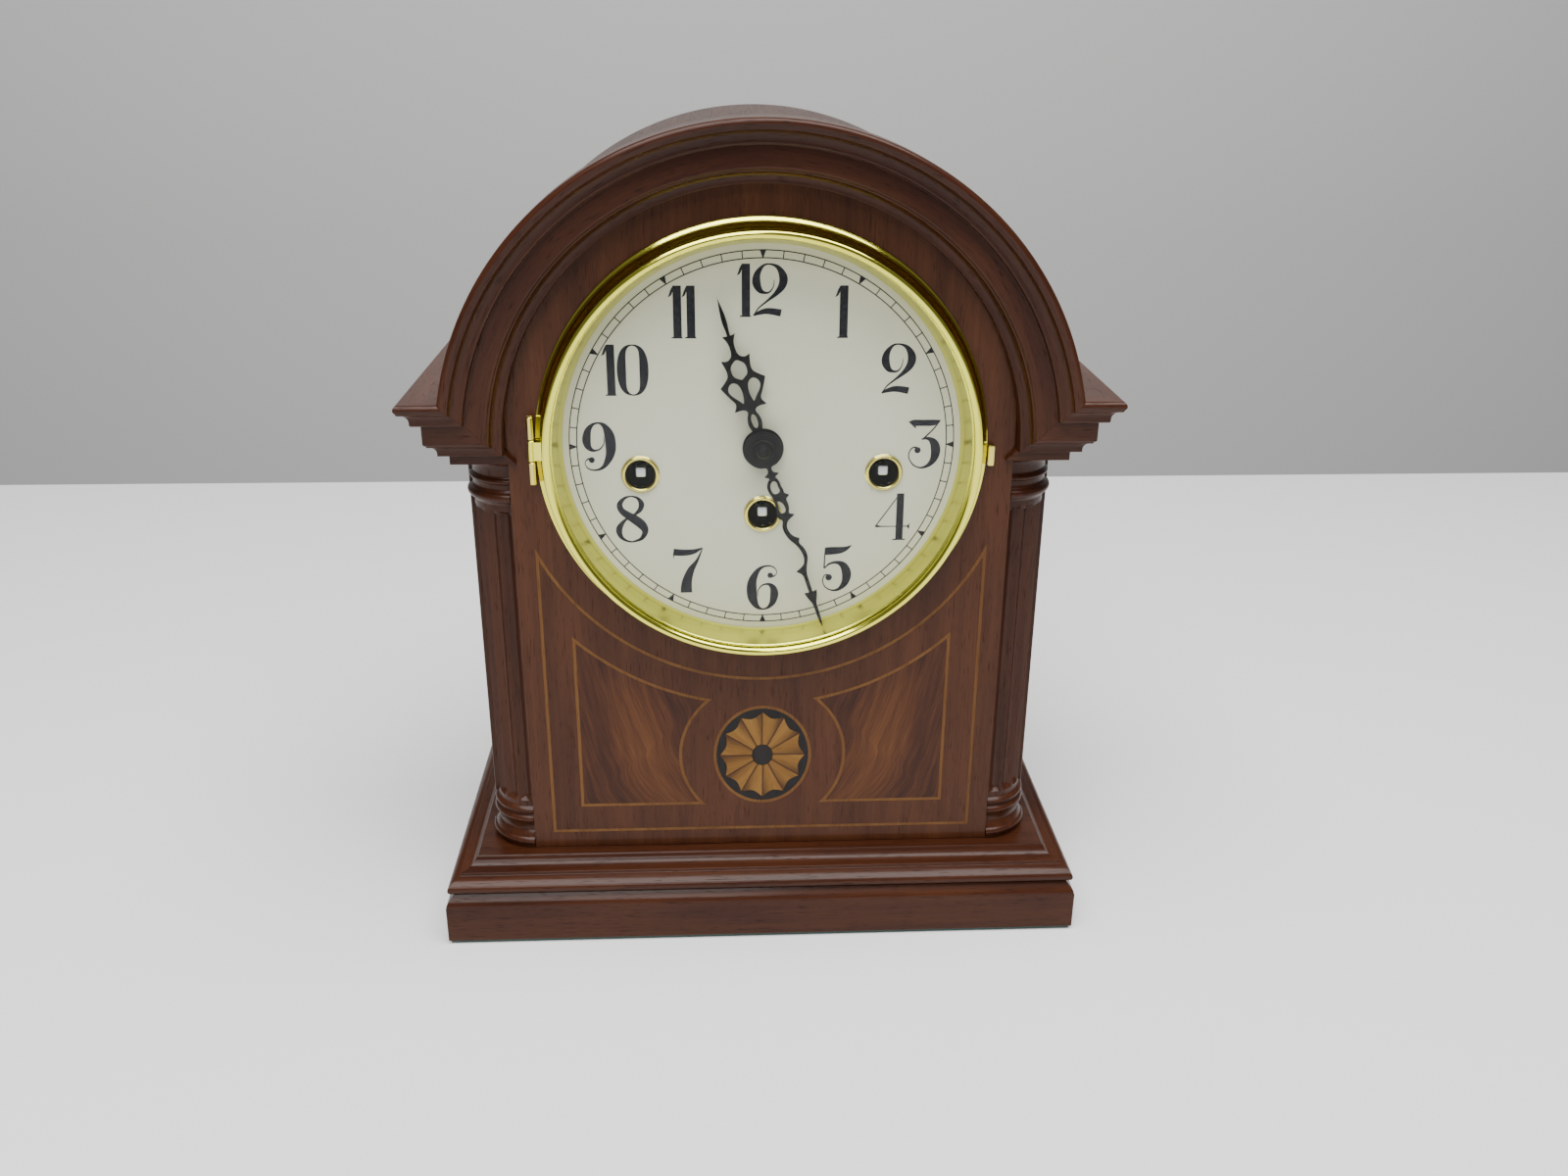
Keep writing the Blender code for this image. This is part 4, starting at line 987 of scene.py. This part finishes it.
DIGITS = {
    "0": (12.7, [[((6.35 - 1.75 * abs(math.cos(a)) ** 1.6) * math.cos(a) + 6.35,
                   10.35 * math.sin(a) + 10.6, .22 + 1.45 * abs(math.cos(a)) ** 1.5)
                  for a in [math.tau * i / 24 for i in range(25)]]], []),
    "1": (4.8, [[(2.9, .5, 1.5), (2.9, 21.2, 1.5)], [(.4, .25, .25), (4.9, .25, .25)],
                [(-.6, 16.7, .1), (.2, 17.6, .4), (.8, 19.2, .45), (1.4, 20.9, .2)]], []),
    "2": (14.0, [[(8.8, 14.9, .12), (8.4, 12.0, .18), (6.8, 9.9, .3), (4.8, 9.7, .5), (2.9, 10.8, 1.05),
                  (1.6, 13.8, 1.5), (2.1, 17.4, 1.1), (4.4, 20.4, .45), (7.2, 21.0, .3), (10.4, 19.6, .8),
                  (12.4, 16.0, 1.5), (12.0, 12.6, 1.4), (9.6, 9.4, .85), (6.0, 6.4, .4), (2.6, 3.6, .25),
                  (.8, 1.0, .2)],
                 [(.35, .6, .3), (2.4, 1.5, .7), (5.5, 2.3, 1.05), (8.5, 2.1, 1.2), (11.6, 1.5, 1.3)]], []),
    "3": (13.6, [[(1.3, 19.0, 2.0), (2.4, 19.9, 1.35), (5.0, 20.0, 1.2), (9.0, 20.0, 1.2),
                  (11.5, 20.3, .95),
                  (13.3, 21.1, .12)],
                 [(13.0, 20.9, .2), (10.5, 17.4, .25), (6.4, 13.1, .3)],
                 [(5.6, 12.9, .25), (8.4, 13.2, .65), (10.8, 11.4, 1.5), (11.8, 8.2, 1.8), (11.2, 4.4, 1.4),
                  (9.0, 1.5, .75), (5.8, .35, .35), (2.6, 1.6, .25), (.6, 4.6, .2), (.6, 7.2, .2),
                  (2.0, 9.2, .25),
                  (3.8, 9.3, .3)]], [(4.1, 8.1, 1.35)]),
    "4": (15.4, [[(10.9, .4, 1.4), (10.9, 21.2, 1.4)], [(8.0, .25, .25), (13.6, .25, .25)],
                 [(10.3, 20.6, .2), (.6, 6.5, .22)], [(.2, 6.3, .12), (1.6, 6.4, .42), (3.6, 6.3, .2),
                  (13.6, 6.3, .2),
                                                      (14.4, 6.3, .5), (15.2, 6.3, 1.2)]], []),
    "5": (12.8, [[(1.35, 18.7, 1.55), (4.0, 18.9, 1.6), (8.0, 19.2, 1.35), (10.8, 20.1, .75),
                  (12.8, 21.5, .1)],
                 [(1.4, 20.1, .25), (1.1, 14.5, .25), (1.0, 10.8, .3)],
                 [(1.1, 10.7, .2), (3.2, 12.8, .4), (6.4, 13.5, .65), (9.4, 12.0, 1.4), (10.9, 8.2, 1.8),
                  (10.2, 3.9, 1.35), (7.6, .9, .65), (4.4, .4, .3), (1.5, 2.1, .22), (.5, 5.0, .2),
                  (1.2, 7.4, .22),
                  (2.6, 7.9, .25)]], [(3.1, 6.5, 1.45)]),
    "6": (13.8, *SIX),
    "7": (13.2, [[(.4, 19.1, 1.4), (3.5, 18.8, 1.35), (7.5, 18.9, 1.15), (10.5, 19.7, .75),
                  (13.0, 21.0, .15)],
                 [(.4, 18.4, .25), (.55, 16.2, .12)],
                 [(12.9, 20.6, .2), (11.7, 17.6, .35), (10.3, 14.6, .65), (7.9, 10.9, 1.3), (6.3, 6.5, 1.8),
                  (5.7, 3.0, 2.1), (5.7, .1, 2.25)]], []),
    "8": (13.8, [[(6.9, 21.0, .25), (4.2, 20.1, .55), (2.1, 17.4, 1.05), (2.8, 14.6, 1.2), (5.4, 12.4, 1.5),
                  (8.6, 10.3, 1.8), (11.4, 7.8, 1.75), (12.5, 5.0, 1.2), (10.8, 1.8, .7), (7.0, .35, .3)],
                 [(6.9, 21.0, .25), (9.6, 20.2, .5), (11.3, 17.6, 1.05), (10.6, 14.9, .9), (8.4, 12.8, .5),
                  (7.0, 11.7, .3)],
                 [(5.9, 11.4, .3), (3.6, 9.7, .65), (1.5, 6.3, 1.2), (2.1, 2.9, .85), (4.3, .95, .45),
                  (7.0, .35, .3)]], []),
    "9": (13.8, [[(13.8 - a, TALL - b, w) for a, b, w in SIX[0][0]]],
          [(13.8 - a, TALL - b, r) for a, b, r in SIX[1]]),
}


def make_numerals():
    between = 0.7
    for hour in range(1, 13):
        a = math.radians(30.0 * hour)
        reach = 68.2 if hour in (3, 9) else 64.6
        digits = [DIGITS[d] for d in str(hour)]
        wide = sum(d[0] for d in digits) + between * (len(digits) - 1)
        x = reach * math.sin(a) - wide / 2.0
        z = DIAL_Z + reach * math.cos(a) - TALL / 2.0
        parts = []
        for width, strokes, balls in digits:
            for layer, stroke in enumerate(strokes):
                steps = 1 if len(stroke) == 2 else 5
                parts.append(pen_stroke(stroke, x, z, PRINT + 0.008 * layer, steps))
            parts += [ball(*spot, x, z, PRINT + 0.03) for spot in balls]
            x += width + between
        printed(f"numeral_{hour}", parts)


# ---------------------------------------------------------------- bezel

def make_bezel():
    skirt = [(88.1, -1.7), (88.1, -12.0), (86.9, -12.1)]
    lip = arc(88.7, -11.7, 1.9, 200.0, 350.0, 12)
    flare = [(90.8, -9.0), (90.9, -6.4), (91.3, -4.4), (92.4, -2.9), (94.0, -2.2), (94.2, -1.9),
             (94.1, -1.7)]
    ring = turned(skirt + lip + flare, 0.0, DIAL_Z)
    hinge_x = span("bezel_hinge_leaf")[1].x - HINGE_R
    arm = block((hinge_x + 1.05, back_y(HINGE_BACK - 1.0), DIAL_Z - 4.0),
                (-89.6, back_y(HINGE_BACK + 0.4), DIAL_Z + 4.0), 0.2)
    knuckle = barrel(hinge_x, HINGE_BACK, DIAL_Z - 4.5, DIAL_Z + 4.5, HINGE_R, 0.8)
    whole = joined(ring, arm, knuckle)
    piece("bezel_finished", whole, BEZEL_BRASS, ["bezel_ring"], "bezel")
    edge, rise, thick = 87.8, 6.0, 1.6
    sphere = (edge * edge + rise * rise) / (2.0 * rise)
    radii = [edge * math.sin(math.pi / 2.0 * i / 24) for i in range(25)]
    front = [(r, -11.8 - (math.sqrt(sphere * sphere - r * r) - (sphere - rise))) for r in radii]
    rear = [(r, back + thick) for r, back in reversed(front)]
    finished("bezel_glass", turned(front + rear, 0.0, DIAL_Z), GLASS, "bezel")


def barrel(x, back, low, high, radius, bore=0.0):
    """Upright cylinder, or a tube when it has a bore."""
    ease = 0.25
    section = [(radius - ease, low), (radius, low + ease), (radius, high - ease), (radius - ease, high)]
    section += [(bore, high), (bore, low)]
    bm = bmesh.new()
    points = [bm.verts.new((x + r, back_y(back), z)) for r, z in section]
    edges = [bm.edges.new((points[i - 1], points[i])) for i in range(0 if bore else 1, len(points))]
    bmesh.ops.spin(bm, geom=points + edges, cent=(x, back_y(back), 0.0), axis=(0.0, 0.0, 1.0), angle=math.tau,
                   steps=24, use_merge=True)
    return bm


def make_bezel_hinge():
    low, high = span("bezel_hinge_leaf")
    hinge_x = high.x - HINGE_R
    parts = [block((low.x, back_y(-1.4), low.z), (hinge_x + 1.1, back_y(-GAP), high.z), 0.3)]
    for start, end in ((low.z, DIAL_Z - 4.8), (DIAL_Z + 4.8, high.z)):
        parts.append(barrel(hinge_x, HINGE_BACK, start, end, HINGE_R))
        parts.append(block((hinge_x - 0.9, back_y(HINGE_BACK + 0.1), start + 0.3),
                           (hinge_x + 0.2, back_y(-0.9), end - 0.3)))
    parts.append(barrel(hinge_x, HINGE_BACK, low.z + 1.0, high.z - 1.0, 0.5))
    finished("bezel_hinge_leaf", joined(*parts), HINGE_BRASS)
    low, high = span("bezel_catch")
    finished("bezel_catch", block(low, high, 0.7), HINGE_BRASS)


# ---------------------------------------------------------------- hands

def hand(node, outlines, angle, back, body):
    """Pierced hand, drawn pointing up about its own centre from (across, along) points. A sharp
    point has a third value."""
    data = bpy.data.curves.new(node, "CURVE")
    data.dimensions = "2D"
    data.fill_mode = "BOTH"
    ease = 0.12
    data.extrude = HAND_THICK / 2.0 - ease
    data.bevel_depth = ease
    data.bevel_resolution = 1
    data.resolution_u = 5
    for outline in outlines:
        spline = data.splines.new("BEZIER")
        spline.use_cyclic_u = True
        spline.bezier_points.add(len(outline) - 1)
        for point, (across, along, *sharp) in zip(spline.bezier_points, outline):
            point.co = (across, along, 0.0)
            kind = "VECTOR" if sharp else "AUTO"
            point.handle_left_type = kind
            point.handle_right_type = kind
    sketch = bpy.data.objects.new(node, data)
    bpy.context.scene.collection.objects.link(sketch)
    bpy.context.view_layer.update()
    mesh = bpy.data.meshes.new_from_object(sketch)
    bm = bmesh.new()
    bm.from_mesh(mesh)
    bpy.data.objects.remove(sketch)
    bpy.data.meshes.remove(mesh)
    stand = Matrix.Rotation(math.radians(90.0), 4, "X")
    swing = Matrix.Rotation(math.radians(angle), 4, "Y")
    at = Matrix.Translation((0.0, back_y(back + HAND_THICK / 2.0), DIAL_Z))
    bmesh.ops.transform(bm, matrix=at @ swing @ stand, verts=bm.verts)
    return finished(node, bm, HAND_BLACK, body)


def both_sides(half):
    """Outline from the hub to the tip on one side, and back on the other."""
    return half + [(-p[0], *p[1:]) for p in reversed(half) if p[0] > 0.0]


def ring_points(radius, steps=12, start=0.0, end=360.0):
    count = steps if end - start == 360.0 else steps + 1
    turn = [math.radians(start + (end - start) * i / steps) for i in range(count)]
    return [(radius * math.sin(a), radius * math.cos(a)) for a in turn]


def make_hands():
    side = [(1.9, 8.3, 1), (2.8, 11.3), (2.5, 14.0), (1.6, 16.6), (2.4, 17.8), (6.6, 18.2, 1),
            (5.3, 21.0), (6.8, 24.2), (8.2, 26.8), (9.4, 29.2, 1), (6.9, 31.2), (5.2, 33.2),
            (5.0, 35.4), (5.3, 37.4), (5.9, 39.8, 1), (3.9, 39.3), (2.3, 39.9), (1.25, 41.4),
            (0.95, 43.6), (1.05, 45.8), (1.7, 47.8), (2.5, 49.3, 1), (0.6, 49.0, 1), (0.55, 51.0),
            (0.85, 54.5), (0.7, 58.5), (0.0, 64.2, 1)]
    hub = ring_points(8.5, 20, 14.0, 346.0)
    hub[0], hub[-1] = (*hub[0], 1), (*hub[-1], 1)
    outline = both_sides(side)[1:-1]
    whole = outline + [hub[-1 - i] for i in range(len(hub))]
    tear = [(4.3, 30.2), (5.7, 29.6), (6.8, 27.2), (5.9, 24.8), (4.1, 22.6), (2.2, 20.2, 1),
            (1.4, 23.1), (1.3, 25.9), (1.9, 28.4), (2.9, 29.7)]
    upper = [(0.0, 39.0), (1.8, 38.0), (3.0, 36.6), (3.3, 34.2), (2.9, 32.4), (1.6, 31.2),
             (0.0, 30.2, 1)]
    upper += [(-x, y) for x, y in reversed(upper[1:-1])]
    lower = [(1.35 * math.sin(a), 12.3 + 3.2 * math.cos(a)) for a in [math.tau * i / 10 for i in range(10)]]
    holes = [tear, [(-p[0], *p[1:]) for p in tear], upper, lower, ring_points(4.2)]
    hand("hour_hand", [whole] + holes, HOUR_ANGLE, HOUR_BACK, "hour_work")

    right = [(1.2, 8.0, 1), (1.1, 9.9), (2.9, 11.3, 1), (1.4, 12.5), (2.4, 13.9), (3.3, 15.8),
             (3.3, 18.1), (2.6, 20.6), (2.5, 23.2), (2.6, 25.6), (3.1, 28.2), (2.9, 30.6), (1.8, 31.6),
             (2.6, 34.8), (2.4, 37.8), (1.3, 41.2), (-0.4, 44.0), (-1.7, 47.6), (-1.9, 51.0),
             (-1.1, 53.6), (0.9, 55.2), (2.9, 56.1, 1), (1.0, 58.3), (0.75, 62.1), (0.7, 67.3, 1),
             (2.7, 67.0, 1), (2.0, 69.5), (0.9, 72.5), (0.65, 76.4), (0.55, 80.6), (0.0, 84.0, 1)]
    left = [(-0.5, 80.3), (-0.6, 76.9), (-0.8, 72.5), (-1.9, 69.5), (-2.6, 67.0, 1), (-0.7, 67.3, 1),
            (-0.75, 62.0), (-1.0, 57.6), (-2.3, 53.9), (-3.5, 50.6), (-3.2, 46.8), (-1.9, 43.6),
            (-2.6, 41.8, 1), (-0.4, 39.9), (0.7, 37.5), (0.8, 34.9), (-0.2, 32.9), (-1.6, 31.9),
            (-3.7, 30.8, 1), (-1.9, 29.4), (-2.5, 27.5), (-2.7, 25.0), (-2.6, 23.2), (-4.2, 21.7, 1),
            (-2.7, 20.3), (-2.6, 18.5), (-2.2, 17.0), (-2.2, 15.5), (-1.7, 13.6), (-1.2, 12.5),
            (-2.9, 11.3, 1), (-1.0, 9.9), (-1.2, 8.0, 1)]
    hub = ring_points(7.8, 20, 352.0, 8.0)
    outline = right + left
    whole = outline[1:-1] + hub
    first = [(0.0, 13.9), (-1.1, 14.9), (-1.1, 16.8), (-1.3, 18.7), (-0.3, 19.8), (1.4, 19.7),
             (2.2, 18.0), (2.1, 15.9), (1.2, 14.3)]
    second = [(1.2, 23.1), (-0.3, 23.9), (-1.1, 26.6), (-0.7, 28.4), (0.9, 28.9), (1.8, 27.4),
              (1.6, 25.1)]
    outlines = [whole, first, second, ring_points(2.3)]
    hand("minute_hand", outlines, MINUTE_ANGLE, MINUTE_BACK, "minute_work")
    seat = MINUTE_BACK - GAP
    nut = [(0.0, -9.35), (1.0, -9.3), (1.9, -8.9), (2.6, -8.1), (2.9, -7.2), (3.4, -6.9), (4.3, -6.75),
           (4.6, -6.4), (4.6, seat), (0.0, seat)]
    whole = turned(nut, 0.0, DIAL_Z, 48)
    finished("hand_nut", whole, HAND_BLACK, "minute_work")


# ---------------------------------------------------------------- carried-over parts

def finish_movement():
    """The movement keeps its own shapes and gets its finishes here."""
    by_slot = {"movement_brass": MOVEMENT_BRASS, "steel": BRIGHT_STEEL, "cast_iron": IRON, "felt": FELT,
               "polished_brass": HINGE_BRASS, "mahogany": MAHOGANY, "blackened_steel": HAND_BLACK}
    for part in frame["record"]["subparts"]:
        node = frame["nodes"].get(part["node"])
        finish = by_slot.get(part["material_slot"])
        if node and finish:
            for slot in node.material_slots:
                slot.material = finish


# ---------------------------------------------------------------- stage

def make_stage():
    floor_colour, wall_colour = (0.80, 0.795, 0.79), (0.80, 0.79, 0.775)
    edge_y, wall_y, reach = 0.62, 2.2, 3.0
    bm = bmesh.new()
    bmesh.ops.create_grid(bm, x_segments=1, y_segments=1, size=reach)
    bmesh.ops.translate(bm, verts=bm.verts, vec=(0.0, edge_y - reach, -0.0002))
    stage_piece("floor", bm, pale_ground("floor_paper", floor_colour, tuple(c * 0.97 for c in floor_colour)))
    bm = bmesh.new()
    stand = Matrix.Rotation(math.radians(90.0), 4, "X")
    bmesh.ops.create_grid(bm, x_segments=1, y_segments=1, size=reach, matrix=stand)
    bmesh.ops.translate(bm, verts=bm.verts, vec=(0.0, wall_y, reach / 2.0))
    stage_piece("wall", bm, pale_ground("wall_paper", wall_colour, tuple(c * 0.98 for c in wall_colour)))


def stage_piece(name, bm, material):
    mesh = bpy.data.meshes.new(name)
    bm.to_mesh(mesh)
    bm.free()
    mesh.materials.append(material)
    item = bpy.data.objects.new(name, mesh)
    bpy.context.scene.collection.objects.link(item)


def lamp(name, place, aim, size, power):
    data = bpy.data.lights.new(name, "AREA")
    data.shape = "RECTANGLE"
    data.size, data.size_y = size
    data.energy = power
    item = bpy.data.objects.new(name, data)
    item.location = place
    item.rotation_euler = (Vector(aim) - Vector(place)).to_track_quat("-Z", "Y").to_euler()
    bpy.context.scene.collection.objects.link(item)


def make_light():
    world = bpy.data.worlds.new("room")
    bpy.context.scene.world = world
    world.use_nodes = True
    sky = world.node_tree.nodes["Background"]
    sky.inputs["Color"].default_value = (0.95, 0.97, 1.0, 1.0)
    sky.inputs["Strength"].default_value = 0.16
    lamp("ceiling", (0.05, -0.55, 1.9), (0.0, -0.1, 0.0), (2.2, 1.3), 95.0)
    lamp("front", (-0.5, -2.3, 1.9), (0.0, 0.0, 0.2), (1.2, 0.8), 26.0)


def build():
    set_camera()
    make_base()
    make_sides()
    for side, word in ((-1, "left"), (1, "right")):
        make_column(side, f"column_{word}")
        make_cornice(side, f"cornice_{word}")
    make_arch()
    make_roof()
    make_front_panel()
    make_stringing()
    make_medallion()
    make_back()
    make_dial()
    make_winding_arbors()
    make_minute_track()
    make_numerals()
    make_bezel()
    make_bezel_hinge()
    make_hands()
    finish_movement()
    make_stage()
    make_light()


build()
